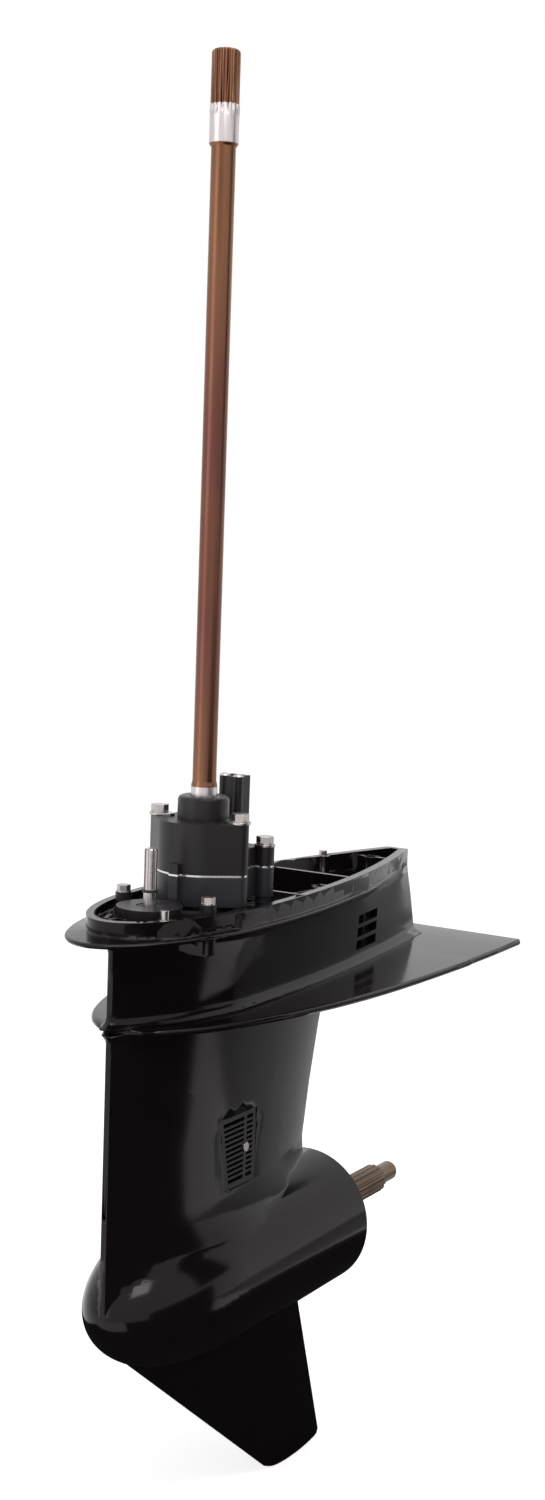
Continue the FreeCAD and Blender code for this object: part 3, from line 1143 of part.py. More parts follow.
node("pump_housing", cut(
    "upper_pump", upper_pump, *bolt_clearance("upper_pump", "pump_plate_level-1", "pump_top+1"),
    cylinder("upper_pump_bore", "drive_shank_dia/2+0.8", "200", ("0", "0", "0")),
    cylinder("upper_pump_cavity", "pump_cavity_radius", "pump_cavity_top-pump_plate_level+1",
             ("0", "0", "pump_plate_level-1")),
    box("upper_pump_outlet", ("pump_cavity_radius-3", "tower_y-5", "pump_plate_level+2"),
        ("tower_bore_x+5", "tower_y+5", "pump_ear_top-6")),
    cylinder("upper_pump_riser", "tower_bore_dia/2", "20",
             ("tower_bore_x", "tower_bore_y", "pump_ear_top-8"))))
node("pump_cup_insert", cut(
    "cup", cylinder("cup_blank", "pump_cavity_radius", "pump_cavity_top-pump_plate_level",
                    ("0", "0", "pump_plate_level")),
    cylinder("cup_room", "pump_cavity_radius-cup_wall", "pump_cavity_top-pump_plate_level-cup_wall+1",
             ("0", "0", "pump_plate_level-1")),
    cylinder("cup_eye", "drive_shank_dia/2+2", "100", ("0", "0", "0")),
    box("cup_port", ("pump_cavity_radius-5", "tower_y-5", "pump_plate_level+2"),
        ("pump_cavity_radius+5", "tower_y+5", "pump_ear_top-6"))))


def impeller_shape():
    """Rubber impeller: hub and blades that end in a bead."""
    low = value("impeller_bottom")
    tall = value("impeller_top") - low
    bead = value("impeller_blade_thick") / 2 + value("loose_gap")
    reach = value("pump_cavity_radius-cup_wall-impeller_gap") - bead
    pieces = [Part.makeCylinder(value("impeller_hub_radius"), tall, Vector(0, 0, low))]
    for index in range(int(value("impeller_blades"))):
        blade = Part.makeBox(reach, value("impeller_blade_thick"), tall,
                             Vector(0, -value("impeller_blade_thick") / 2, low))
        blade = blade.fuse(Part.makeCylinder(bead, tall, Vector(reach, 0, low)))
        blade.rotate(Vector(), Vector(0, 0, 1), 30 + 360 / value("impeller_blades") * index)
        pieces.append(blade)
    whole = pieces[0].multiFuse(pieces[1:])
    return whole.cut(Part.makeCylinder(value("drive_shank_dia/2"), tall + 2, Vector(0, 0, low - 1)))


node("impeller", cut("impeller_keyed", feature("impeller_moulding", impeller_shape()),
                     box("hub_keyway", KEY_LOW, KEY_HIGH)))
washers = []
bolts = []
for index, (across, aside, top) in enumerate(PUMP_BOLTS):
    spot = (value(across), value(aside))
    inward = -math.copysign(value("washer_reach"), spot[1]) if top == "pump_top" else 0
    disc = Part.makeCylinder(value("washer_radius"), value("washer_thick"),
                             Vector(spot[0], spot[1], value(top)))
    if inward:
        disc = tangent_hull((spot[0], spot[1], value("washer_radius")),
                            (spot[0], spot[1] + inward, value("washer_tongue")), value(top),
                            value(top + "+washer_thick"))
    washers.append(cut("washer_%d" % index, feature("washer_blank_%d" % index, disc),
                       cylinder("washer_way_%d" % index, "bolt_shank+bolt_gap", "10",
                                (across, aside, top + "-2"))))
    bolts.append(hex_bolt("pump_bolt_%d" % index, (across, aside, top + "+washer_thick"), "bolt_head_flats",
                          "bolt_head_height", "bolt_shank", top + "+washer_thick-pump_floor+bolt_depth-2"))
node("pump_washers", group("washer_set", washers))
node("pump_bolts", group("pump_bolt_set", bolts))
tower_low = ("tower_x-tower_length/2", "tower_y-tower_width/2", "pump_ear_top")
tower_high = ("tower_x+tower_length/2", "tower_y+tower_width/2", "tower_top")
TOWER_SCREWS = (("tower_screw_x", "tower_screw_y"), ("tower_column_x", "tower_column_y"))
node("water_outlet_housing", cut(
    "tower", fuse("tower_blank", box("tower_block", tower_low, tower_high), *[
        cylinder("tower_column_%d" % index, "tower_column_radius", "tower_top-pump_ear_top",
                 (across, aside, "pump_ear_top"))
        for index, (across, aside) in enumerate(TOWER_SCREWS)]),
    cylinder("tower_bore", "tower_bore_dia/2", "200", ("tower_bore_x", "tower_bore_y", "0")),
    cylinder("tower_grommet_seat", "tower_seat_dia/2", "40",
             ("tower_bore_x", "tower_bore_y", "tower_top-8")),
    *[cylinder("tower_screw_way_%d" % index, "tower_screw_radius+bolt_gap/3", "40",
               (across, aside, "tower_top-20"))
      for index, (across, aside) in enumerate(TOWER_SCREWS)]))
node("water_tube_grommet", ring("tube_grommet", "tower_top-8", "tower_top-0.5", "tower_bore_dia/2-0.2",
                                "tower_seat_dia/2",
                                ("tower_bore_x", "tower_bore_y", "0")))
domes = []
for index, (across, aside) in enumerate(TOWER_SCREWS):
    round_head = value("dome_radius")
    cap = Part.makeSphere(round_head, Vector(0, 0, -value("dome_sink")))
    cap = cap.common(Part.makeBox(2 * round_head, 2 * round_head, round_head,
                                  Vector(-round_head, -round_head, 0)))
    domes.append(fuse("dome_screw_%d" % index,
                      feature("dome_head_%d" % index, cap, (across, aside, "tower_top")),
                      cylinder("dome_shank_%d" % index, "tower_screw_radius", "18",
                               (across, aside, "tower_top-18"))))
node("water_outlet_screws", group("dome_screw_set", domes))

# Bearing carrier and what holds it

carrier_blank = turned("carrier_turning", [
    ("carrier_front", "reverse_race_outer"), ("carrier_front", "gear_bore"),
    ("carrier_seat_rear", "gear_bore"),
    ("carrier_seat_rear", "gear_bore-7"), ("carrier_seat_rear+10", "carrier_tube_dia/2"),
    ("carrier_rear", "carrier_tube_dia/2"), ("carrier_rear", "seal_radius"),
    ("seal_front-1", "seal_radius"),
    ("seal_front-1", "needle_shell"), ("carrier_needle_front", "needle_shell"),
    ("carrier_needle_front", "prop_carrier_dia/2+1.5"), ("reverse_bearing_rear", "prop_carrier_dia/2+1.5"),
    ("reverse_bearing_rear", "reverse_race_outer")], ON_PROP_AXIS, AFT)
carrier_rim = ring("carrier_rim", "carrier_ring_front", "carrier_rear", "exhaust_bore-carrier_rim_thick",
                   "exhaust_bore",
                   ON_PROP_AXIS, AFT)


def spoke_shapes():
    thick = value("carrier_spoke_width")
    front = value("carrier_ring_front")
    inner = value("carrier_tube_dia/2") - 1
    reach = value("exhaust_bore-carrier_rim_thick") + 1 - inner
    spokes = []
    for index in range(int(value("carrier_spokes"))):
        spoke = Part.makeBox(reach, thick, value("carrier_rear") - front, Vector(inner, -thick / 2, front))
        spoke.rotate(Vector(), Vector(0, 0, 1), 45 + 360 / value("carrier_spokes") * index)
        spokes.append(spoke)
    return spokes[0].multiFuse(spokes[1:])


carrier_solid = fuse("carrier_solid", carrier_blank, carrier_rim,
                     feature("carrier_spokes", spoke_shapes(), ON_PROP_AXIS, AFT))
o_ring_groove = ring("o_ring_groove", "carrier_seat_rear-14", "carrier_seat_rear-10", "gear_bore-2.6",
                     "gear_bore+1", ON_PROP_AXIS, AFT)
node("bearing_carrier", cut("carrier", carrier_solid, o_ring_groove))
node("carrier_o_ring", ring("carrier_seal", "carrier_seat_rear-14", "carrier_seat_rear-10",
                            "gear_bore-2.6", "gear_bore", ON_PROP_AXIS, AFT))
node("carrier_needle_bearing", ring("carrier_needles", "carrier_needle_front", "carrier_needle_rear",
                                    "prop_carrier_dia/2+running_gap", "needle_shell", ON_PROP_AXIS, AFT))
node("prop_shaft_seals", group("seal_set", [
    ring("prop_seal_%d" % index, "seal_front+%d*(seal_length+1)" % index,
         "seal_front+%d*(seal_length+1)+seal_length" % index,
         "prop_carrier_dia/2+running_gap", "seal_radius", ON_PROP_AXIS, AFT) for index in range(2)]))
node("carrier_tab_washer", ring("tab_washer", "carrier_rear", "carrier_rear+tab_washer_thick",
                                "exhaust_bore-carrier_rim_thick",
                                "exhaust_bore", ON_PROP_AXIS, AFT))
nut_blank = ring("ring_nut_blank", "carrier_rear+tab_washer_thick", "ring_nut_rear",
                 "exhaust_bore-carrier_rim_thick-0.5",
                 "exhaust_bore", ON_PROP_AXIS, AFT)


def nut_slots():
    slots = []
    for index in range(4):
        wide = value("nut_slot_width")
        start = Vector(value("exhaust_bore") - wide, -wide / 2, value("ring_nut_rear") - 3)
        slot = Part.makeBox(wide + 2, wide, wide / 2, start)
        slot.rotate(Vector(), Vector(0, 0, 1), 90 * index)
        slots.append(slot)
    return slots[0].multiFuse(slots[1:])


node("carrier_ring_nut", cut("ring_nut", nut_blank,
                             feature("ring_nut_slots", nut_slots(), ON_PROP_AXIS, AFT)))

# Water intake screens, plugs and dowels


def screen_shape(side):
    """Leaning intake screen: a frame, horizontal bars and a middle rib."""
    seat = value("grille_seat_depth")
    face = value("grille_face_depth")
    blank = grille_prism(seat, face, side, value("grille_gap"))
    low = value("grille_bottom") + value("grille_frame")
    high = value("grille_top") - value("grille_frame")
    count = int(value("grille_slots"))
    pitch = (high - low) / count
    bars = value("grille_bar")
    window = grille_prism(seat - 5, face + 5, side, value("grille_frame"))
    for index in range(count - 1):
        level = low + pitch * (index + 1) - bars / 2
        window = window.cut(Part.makeBox(100, 100, bars, Vector(-50, min(side * 10, side * 100), level)))
    rib = value("screen_screw_x")
    wide = value("screen_rib_width")
    window = window.cut(Part.makeBox(wide, 100, 100,
                                     Vector(rib - wide / 2, min(side * 1, side * 100), low - 10)))
    centre = Vector(rib, side * 60, value("screen_screw_level"))
    window = window.cut(Part.makeCylinder(value("screen_screw_head") + 1, 60, centre, Vector(0, -side, 0)))
    return blank.cut(window)


screen_screws = []
for side, sign in SIDES:
    number = -1 if side == "port" else 1
    turn = TO_STARBOARD if side == "starboard" else TO_PORT
    outside = ("screen_screw_x", sign + "(grille_face_depth)", "screen_screw_level")
    inside = ("screen_screw_x", sign + "(intake_floor_depth-6)", "screen_screw_level")
    node("water_intake_screen_" + side, cut(
        "screen_" + side, feature("screen_moulding_" + side, screen_shape(number)),
        cylinder("screen_way_" + side, "screen_screw_radius", "60", inside, turn)))
    screen_screws.append(fuse(
        "screen_screw_" + side, cylinder("screen_screw_head_" + side, "screen_screw_head", "1.6", outside,
                                         turn),
        cylinder("screen_screw_shank_" + side, "screen_screw_radius",
                 "grille_face_depth-intake_floor_depth+6", inside, turn)))
node("intake_screen_screws", group("screen_screw_set", screen_screws))
gaskets = []
for name in ("drain", "level"):
    seat = "oil_" + name + "_seat"
    where = ("oil_" + name + "_x", seat, "oil_" + name + "_level")
    on_gasket = ("oil_" + name + "_x", seat + "+1", "oil_" + name + "_level")
    inside = ("oil_" + name + "_x", seat + "-oil_shank_length", "oil_" + name + "_level")
    gaskets.append(ring("oil_gasket_" + name, "0", "1", "oil_shank_radius", "oil_head_radius", where,
                        TO_STARBOARD))
    plug = fuse("oil_plug_" + name, cylinder("oil_head_" + name, "oil_head_radius", "3", on_gasket,
                                             TO_STARBOARD),
                cylinder("oil_shank_" + name, "oil_shank_radius", "oil_shank_length+1", inside,
                         TO_STARBOARD))
    node("oil_" + name + "_screw", cut("oil_screw_" + name, plug, box(
        "oil_slot_" + name, ("oil_" + name + "_x-20", seat + "+2.6", "oil_" + name + "_level-0.8"),
        ("oil_" + name + "_x+20", seat + "+9", "oil_" + name + "_level+0.8"))))
node("oil_screw_gaskets", group("oil_gasket_set", gaskets))
node("deck_dowels", group("dowel_set", [
    fuse("dowel_%d" % index, cylinder("dowel_pin_%d" % index, "dowel_dia/2", tall + "+1",
                                      (across, aside, "-1")),
         cylinder("dowel_foot_%d" % index, "dowel_foot_dia/2", "dowel_length-(" + tall + ")",
                  (across, aside, tall + "-dowel_length")))
    for index, (across, aside, tall) in enumerate(DOWELS)]))

doc.recompute()
broken = [item.Name for item in doc.Objects if "Invalid" in item.State or "Error" in item.State]
if broken:
    sys.exit("failed objects: " + ", ".join(broken))
os.makedirs("parts", exist_ok=True)
for name, piece in NODES.items():
    shape = piece.Shape
    if shape.isNull() or not shape.isValid():
        sys.exit("bad shape: " + name)
    shape.exportStep("parts/" + name + ".step")
    print(name, len(shape.Solids), round(shape.Volume))
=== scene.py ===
"""Outboard lower unit: finishes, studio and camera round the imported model.

Everything is in metres, +X aft, +Y starboard, +Z up, from the deck at the drive shaft's axis.
"""

import json
import math

import bmesh
import bpy
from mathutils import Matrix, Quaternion, Vector


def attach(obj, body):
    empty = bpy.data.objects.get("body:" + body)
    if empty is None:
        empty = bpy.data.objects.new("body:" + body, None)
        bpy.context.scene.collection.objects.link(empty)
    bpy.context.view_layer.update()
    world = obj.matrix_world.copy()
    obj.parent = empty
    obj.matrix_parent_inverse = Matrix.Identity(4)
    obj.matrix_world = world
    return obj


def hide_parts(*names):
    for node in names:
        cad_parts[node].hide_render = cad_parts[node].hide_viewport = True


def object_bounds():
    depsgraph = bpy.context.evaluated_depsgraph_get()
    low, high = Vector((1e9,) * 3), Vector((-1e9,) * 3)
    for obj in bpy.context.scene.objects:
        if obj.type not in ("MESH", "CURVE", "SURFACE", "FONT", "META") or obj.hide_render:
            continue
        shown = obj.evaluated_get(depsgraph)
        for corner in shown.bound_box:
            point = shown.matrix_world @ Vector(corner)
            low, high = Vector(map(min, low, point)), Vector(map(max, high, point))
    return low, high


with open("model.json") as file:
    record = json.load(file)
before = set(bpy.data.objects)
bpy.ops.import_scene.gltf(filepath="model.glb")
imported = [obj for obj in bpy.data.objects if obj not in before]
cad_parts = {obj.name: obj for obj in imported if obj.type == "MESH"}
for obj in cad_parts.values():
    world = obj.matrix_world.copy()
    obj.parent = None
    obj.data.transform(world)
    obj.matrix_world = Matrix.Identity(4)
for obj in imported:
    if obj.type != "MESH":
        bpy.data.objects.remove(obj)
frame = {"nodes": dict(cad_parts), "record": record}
cad_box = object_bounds()

MM = 0.001
UP = Vector((0, 0, 1))
FLOOR_LEVEL = cad_box[0].z - 0.5 * MM


# Shader helpers

# Sockets of a Mix node set to colours
MIX_FACTOR = 0
MIX_FIRST = 6
MIX_SECOND = 7
MIX_RESULT = 2


def feed(tree, socket, setting):
    """Link another node's socket to this one, or write a number, vector or colour into it."""
    if isinstance(setting, bpy.types.NodeSocket):
        tree.links.new(setting, socket)
    elif socket.type == "RGBA":
        socket.default_value = (*setting, 1)
    else:
        socket.default_value = setting


def add(tree, kind, inputs=None, **settings):
    """New shader node: the settings are its properties, and inputs feeds its sockets."""
    made = tree.nodes.new(kind)
    for name, setting in settings.items():
        setattr(made, name, setting)
    for name, setting in (inputs or {}).items():
        feed(tree, made.inputs[name], setting)
    return made


def combine(tree, operation, first, second):
    """Result of a Math node on two sockets or numbers."""
    return add(tree, "ShaderNodeMath", {0: first, 1: second}, operation=operation).outputs["Value"]


def object_place(tree, stretch=(1, 1, 1)):
    """Object coordinates, stretched along each axis."""
    place = add(tree, "ShaderNodeTexCoord").outputs["Object"]
    return add(tree, "ShaderNodeMapping", {"Vector": place, "Scale": stretch}).outputs["Vector"]


def noise(tree, vector, scale, detail, rough=0.5):
    """Factor of a noise texture."""
    texture = add(tree, "ShaderNodeTexNoise",
                  {"Vector": vector, "Scale": scale, "Detail": detail, "Roughness": rough})
    return texture.outputs["Fac"]


def spread(tree, factor, low, high, start=0.3, end=0.7):
    """Turn a factor between start and end into a value between low and high."""
    ranged = add(tree, "ShaderNodeMapRange",
                 {"Value": factor, "From Min": start, "From Max": end, "To Min": low, "To Max": high})
    return ranged.outputs["Result"]


def blend_colour(tree, factor, first, second):
    """Colour from first at 0 to second at 1."""
    mix = add(tree, "ShaderNodeMix", {MIX_FACTOR: factor, MIX_FIRST: first, MIX_SECOND: second},
              data_type="RGBA")
    return mix.outputs[MIX_RESULT]


def band_mask(tree, bottom, top, soft=0.4 * MM):
    """1 between two heights on the object, 0 above and below."""
    height = add(tree, "ShaderNodeSeparateXYZ", {"Vector": object_place(tree)}).outputs["Z"]
    over_bottom = spread(tree, height, low=0.0, high=1.0, start=bottom - soft, end=bottom + soft)
    under_top = spread(tree, height, low=0.0, high=1.0, start=top + soft, end=top - soft)
    return combine(tree, "MINIMUM", over_bottom, under_top)


# Grain that all finishes share

def new_group(name, inputs, outputs):
    """Node group with inputs of (name, socket type, default) and outputs of (name, socket type)."""
    group = bpy.data.node_groups.new(name, "ShaderNodeTree")
    for label, kind, default in inputs:
        socket = group.interface.new_socket(name=label, in_out="INPUT", socket_type=kind)
        socket.default_value = default
    for label, kind in outputs:
        group.interface.new_socket(name=label, in_out="OUTPUT", socket_type=kind)
    return group, group.nodes.new("NodeGroupInput").outputs, group.nodes.new("NodeGroupOutput").inputs


def surface_group():
    """Fine bump and patchy gloss, shared by the painted, moulded and metal finishes."""
    group, given, results = new_group(
        "surface_grain",
        [("Scale", "NodeSocketFloat", 400.0), ("Stretch", "NodeSocketVector", (1.0, 1.0, 1.0)),
         ("Height", "NodeSocketFloat", 0.02), ("Low Gloss", "NodeSocketFloat", 0.2),
         ("High Gloss", "NodeSocketFloat", 0.3)],
        [("Roughness", "NodeSocketFloat"), ("Height", "NodeSocketFloat"), ("Patch", "NodeSocketFloat")])
    place = add(group, "ShaderNodeTexCoord").outputs["Object"]
    stretched = add(group, "ShaderNodeVectorMath", {0: place, 1: given["Stretch"]}, operation="MULTIPLY")
    grain = noise(group, stretched.outputs["Vector"], given["Scale"], detail=4.0)
    patch = noise(group, place, scale=14.0, detail=4.0, rough=0.6)
    feed(group, results["Roughness"], spread(group, patch, given["Low Gloss"], given["High Gloss"]))
    feed(group, results["Height"], combine(group, "MULTIPLY", grain, given["Height"]))
    feed(group, results["Patch"], patch)
    return group


SURFACE = surface_group()


# Finishes: the two colours of each vary in patches

ENAMEL_BLACK = ((0.0052, 0.0036, 0.0046), (0.0066, 0.0046, 0.0058))
MACHINED_BLACK = ((0.012, 0.011, 0.012), (0.018, 0.017, 0.018))
COPPER_BROWN = ((0.27, 0.135, 0.075), (0.20, 0.092, 0.052))
BRONZE_BROWN = ((0.19, 0.13, 0.09), (0.12, 0.08, 0.058))
PLATED_STEEL = ((0.56, 0.52, 0.51), (0.42, 0.39, 0.38))
GROUND_STEEL = ((0.62, 0.60, 0.58), (0.5, 0.48, 0.46))
SHEET_STEEL = ((0.72, 0.72, 0.71), (0.58, 0.58, 0.57))
GEAR_STEEL = ((0.40, 0.38, 0.36), (0.30, 0.29, 0.28))
PLASTIC_BLACK = ((0.011, 0.0088, 0.010), (0.016, 0.013, 0.0145))
PLASTIC_GREY = ((0.018, 0.019, 0.022), (0.026, 0.027, 0.031))
GASKET_GREY = ((0.05, 0.05, 0.05), (0.08, 0.08, 0.08))
RUBBER_BLACK = ((0.012, 0.012, 0.012), (0.02, 0.02, 0.02))

# Drive shaft: dark streaks, purple clouds, and bright bands at its journal and at the pump's collar
DARK_STREAK = (0.15, 0.062, 0.036)
STREAK_STRETCH = (60, 60, 3)
HEAT_PURPLE = (0.125, 0.042, 0.052)
CLOUD_STRETCH = (14, 14, 5)
PURPLE_LOW = 160 * MM
PURPLE_HIGH = 420 * MM
PURPLE_FADE = 80 * MM
JOURNAL_BRIGHT = (0.62, 0.56, 0.56)
JOURNAL_LOW = 614 * MM
JOURNAL_HIGH = 644.5 * MM
COLLAR_BRIGHT = (0.60, 0.55, 0.55)
COLLAR_LOW = 40 * MM
COLLAR_HIGH = 93.6 * MM


def finish_material(name, colours, metallic=0.0, gloss=(0.2, 0.3), grain_scale=400.0, grain_height=0.02,
                    stretch=(1, 1, 1), specular=0.5, tint=(1, 1, 1)):
    """Principled finish; gloss is its lowest and highest roughness."""
    material = bpy.data.materials.new(name)
    material.use_nodes = True
    tree = material.node_tree
    surface = add(tree, "ShaderNodeGroup",
                  {"Scale": grain_scale, "Height": grain_height, "Stretch": stretch,
                   "Low Gloss": gloss[0], "High Gloss": gloss[1]},
                  node_tree=SURFACE).outputs
    bump = add(tree, "ShaderNodeBump", {"Distance": MM, "Height": surface["Height"]})
    shader = tree.nodes["Principled BSDF"].inputs
    feed(tree, shader["Base Color"], blend_colour(tree, surface["Patch"], *colours))
    feed(tree, shader["Roughness"], surface["Roughness"])
    feed(tree, shader["Normal"], bump.outputs["Normal"])
    feed(tree, shader["Metallic"], metallic)
    feed(tree, shader["Specular IOR Level"], specular)
    feed(tree, shader["Specular Tint"], tint)
    return material


def tinted_shaft():
    """Drive shaft: copper-brown heat tint with streaks and a purple stretch, bright ground bands."""
    material = finish_material("heat_tinted_shaft", COPPER_BROWN, metallic=1.0, gloss=(0.26, 0.38),
                               grain_scale=260.0, grain_height=0.05, stretch=(1, 1, 0.05))
    tree = material.node_tree
    base = tree.nodes["Principled BSDF"].inputs["Base Color"]
    brown = base.links[0].from_socket
    lines = noise(tree, object_place(tree, STREAK_STRETCH), scale=1.6, detail=4.0)
    streak = spread(tree, lines, low=0.0, high=1.0, start=0.35, end=0.72)
    streaked = blend_colour(tree, streak, brown, DARK_STREAK)
    clouds = noise(tree, object_place(tree, CLOUD_STRETCH), scale=1.0, detail=2.0)
    cloud = spread(tree, clouds, low=0.3, high=1.0, start=0.4, end=0.65)
    purple = combine(tree, "MULTIPLY", cloud, band_mask(tree, PURPLE_LOW, PURPLE_HIGH, soft=PURPLE_FADE))
    tinted = blend_colour(tree, purple, streaked, HEAT_PURPLE)
    with_journal = blend_colour(tree, band_mask(tree, JOURNAL_LOW, JOURNAL_HIGH), tinted, JOURNAL_BRIGHT)
    with_collar = blend_colour(tree, band_mask(tree, COLLAR_LOW, COLLAR_HIGH), with_journal, COLLAR_BRIGHT)
    feed(tree, base, with_collar)
    return material


FINISHES = {
    "casting": finish_material("gloss_black_enamel", ENAMEL_BLACK, gloss=(0.11, 0.17), grain_scale=700.0,
                               grain_height=0.006, specular=0.22, tint=(1.0, 0.92, 0.94)),
    "inside": finish_material("machined_black", MACHINED_BLACK, gloss=(0.3, 0.5), specular=0.3),
    "shaft": tinted_shaft(),
    "prop_shaft": finish_material("bronze_tinted_shaft", BRONZE_BROWN, metallic=1.0, gloss=(0.25, 0.42),
                                  grain_scale=300.0, grain_height=0.05, stretch=(0.1, 1, 1)),
    "bright": finish_material("bright_plated_steel", PLATED_STEEL, metallic=1.0, gloss=(0.20, 0.34),
                              grain_scale=800.0, grain_height=0.012),
    "ground": finish_material("ground_steel", GROUND_STEEL, metallic=1.0, gloss=(0.2, 0.3),
                              grain_scale=500.0, grain_height=0.04, stretch=(1, 1, 0.1)),
    "pump": finish_material("satin_black_plastic", PLASTIC_BLACK, gloss=(0.30, 0.42), grain_scale=900.0,
                            grain_height=0.03, specular=0.3),
    "pump_low": finish_material("satin_grey_plastic", PLASTIC_GREY, gloss=(0.33, 0.46), grain_scale=900.0,
                                grain_height=0.03, specular=0.35),
    "sheet": finish_material("rolled_steel_sheet", SHEET_STEEL, metallic=1.0, gloss=(0.16, 0.26),
                             grain_scale=500.0, grain_height=0.03),
    "gasket": finish_material("gasket_sheet", GASKET_GREY, gloss=(0.6, 0.8)),
    "rubber": finish_material("black_rubber", RUBBER_BLACK, gloss=(0.45, 0.6), grain_scale=900.0,
                              grain_height=0.08),
    "gear": finish_material("hardened_gear_steel", GEAR_STEEL, metallic=1.0, gloss=(0.25, 0.4),
                            grain_scale=600.0, grain_height=0.05),
}

# The finish of each slot in the record
SLOT_FINISH = {
    "gearcase_paint": "casting",
    "carrier_paint": "inside",
    "drive_steel": "shaft",
    "prop_steel": "prop_shaft",
    "shift_steel": "bright",
    "fastener": "bright",
    "plate_steel": "sheet",
    "gear_steel": "gear",
    "bearing_steel": "ground",
    "pump_black": "pump",
    "pump_grey": "pump_low",
    "cover_black": "pump",
    "screen_plastic": "pump",
    "gasket": "gasket",
    "rubber": "rubber",
}
NODE_SLOT = {entry["node"]: entry["material_slot"] for entry in frame["record"]["subparts"]}
NODE_BODY = {node: body for body, nodes in frame["record"]["behaviour"]["bodies"].items() for node in nodes}

for node, slot in NODE_SLOT.items():
    materials = frame["nodes"][node].data.materials
    materials.clear()
    materials.append(FINISHES[SLOT_FINISH[slot]])


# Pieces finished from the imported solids

WELD_GAP = 0.002 * MM
FLAT_ANGLE = math.radians(1)
CREASE = math.radians(32)
CASTING_CREASE = math.radians(28)
MOULDED_EDGE = 0.8 * MM
SMALL_EDGE = 0.35 * MM

# Levels and breadths of the casting under the deck, within a millimetre of the solid's
BODY_REAR = 351 * MM
BODY_RAKE = 20 / 71
BODY_WIDEST = 15 * MM
BODY_HALF = 56 * MM
BODY_TAIL = 11 * MM
LIP_TOP = -12.9 * MM
LIP_BOTTOM = -17 * MM
HOLLOW_FOOT = -29 * MM
FADE_START = 250 * MM
FADE_END = 338 * MM


def finish_piece(node, crease=CREASE, edge=0.0, segments=2):
    """Welded copy of a solid with smooth faces, sharp creases and, where asked, eased edges."""
    mesh = frame["nodes"][node].data.copy()
    shape = bmesh.new()
    shape.from_mesh(mesh)
    bmesh.ops.remove_doubles(shape, verts=shape.verts, dist=WELD_GAP)
    if edge:
        bmesh.ops.dissolve_limit(shape, angle_limit=FLAT_ANGLE, verts=shape.verts, edges=shape.edges)
    for face in shape.faces:
        face.smooth = True
    shape.to_mesh(mesh)
    shape.free()
    mesh.set_sharp_from_angle(angle=crease)
    piece = bpy.data.objects.new(node + "_finished", mesh)
    bpy.context.scene.collection.objects.link(piece)
    if edge:
        easing = piece.modifiers.new("eased_edges", "BEVEL")
        easing.width = edge
        easing.segments = segments
        easing.limit_method = "ANGLE"
        easing.angle_limit = crease
        easing.harden_normals = True
    shading = piece.modifiers.new("evened_shading", "WEIGHTED_NORMAL")
    shading.keep_sharp = True
    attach(piece, NODE_BODY[node])
    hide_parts(node)
    return piece


def run_out_lip(casting):
    """Let the lip, and the hollow under it, fade into the wall ahead of the rear corner."""
    for vertex in casting.data.vertices:
        spot = vertex.co
        if spot.x < FADE_START or not HOLLOW_FOOT < spot.z < LIP_TOP:
            continue
        rear = BODY_REAR + max(0.0, LIP_BOTTOM - spot.z) * BODY_RAKE
        share = (spot.x - BODY_WIDEST) / (rear - BODY_WIDEST)
        wall = BODY_TAIL + (BODY_HALF - BODY_TAIL) * max(0.0, 1 - share ** 2)
        proud = abs(spot.y) - wall
        if proud > 0:
            fade = min(1.0, (spot.x - FADE_START) / (FADE_END - FADE_START))
            kept = 1 - fade * fade * (3 - 2 * fade)
            spot.y = math.copysign(wall + proud * kept, spot.y)
        spot.x = min(spot.x, rear)


run_out_lip(finish_piece("gearcase_housing", crease=CASTING_CREASE))
for plain in ("bearing_carrier", "prop_shaft", "drive_shaft", "carrier_ring_nut", "forward_gear",
              "reverse_gear", "pinion_gear", "impeller", "clutch_dog"):
    finish_piece(plain)
for moulded in ("pump_housing", "lower_pump_housing", "water_outlet_housing", "shift_cover_plate"):
    finish_piece(moulded, edge=MOULDED_EDGE, segments=3)
for small in ("pump_bolts", "shift_cover_bolts", "water_outlet_screws", "oil_drain_screw", "oil_level_screw",
              "intake_screen_screws", "shift_shaft", "pump_washers", "deck_dowels",
              "water_intake_screen_port", "water_intake_screen_starboard"):
    finish_piece(small, edge=SMALL_EDGE)


# Studio

FLOOR_SIDE = 60.0
FLOOR_WHITE = (0.9, 0.9, 0.9)
FLOOR_GLOW = 0.62
WORLD_LEVEL = 0.45
DULL_ROUGHNESS = 0.9

# Cloths that only the gloss on the part shows; three are laid out from one turned edge
CLOTH_BLACK = (0.02, 0.02, 0.02)
CLOTH_GREY = (0.55, 0.55, 0.55)
CLOTH_LEVEL = FLOOR_LEVEL + 1 * MM
CLOTH_CORNER = Vector((-0.045, -0.036, CLOTH_LEVEL))
CLOTH_TURN = math.radians(29.2)
ALONG_EDGE = Vector((math.cos(CLOTH_TURN), math.sin(CLOTH_TURN), 0))
OFF_EDGE = Vector((ALONG_EDGE.y, -ALONG_EDGE.x, 0))
SIDE_LENGTH = 3.0
SIDE_DEPTH = 2.2
LOW_HEIGHT = 0.7
TALL_WIDTH = 0.8
TALL_HEIGHT = 2.2
TALL_OFF_EDGE = 2.0
TALL_ALONG_EDGE = 0.1
TALL_MIDDLE = 1.9


def background_rays(tree):
    """1 for rays that show the background: from the camera, in metal and gloss, and through glass."""
    rays = add(tree, "ShaderNodeLightPath").outputs
    gloss_too = combine(tree, "MAXIMUM", rays["Is Camera Ray"], rays["Is Glossy Ray"])
    return combine(tree, "MAXIMUM", gloss_too, rays["Is Transmission Ray"])


def dull_material(name, colour):
    """Plain material without gloss, for the floor and the cloths."""
    material = bpy.data.materials.new(name)
    material.use_nodes = True
    tree = material.node_tree
    shader = tree.nodes["Principled BSDF"].inputs
    feed(tree, shader["Base Color"], colour)
    feed(tree, shader["Roughness"], DULL_ROUGHNESS)
    feed(tree, shader["Specular IOR Level"], 0.0)
    return material


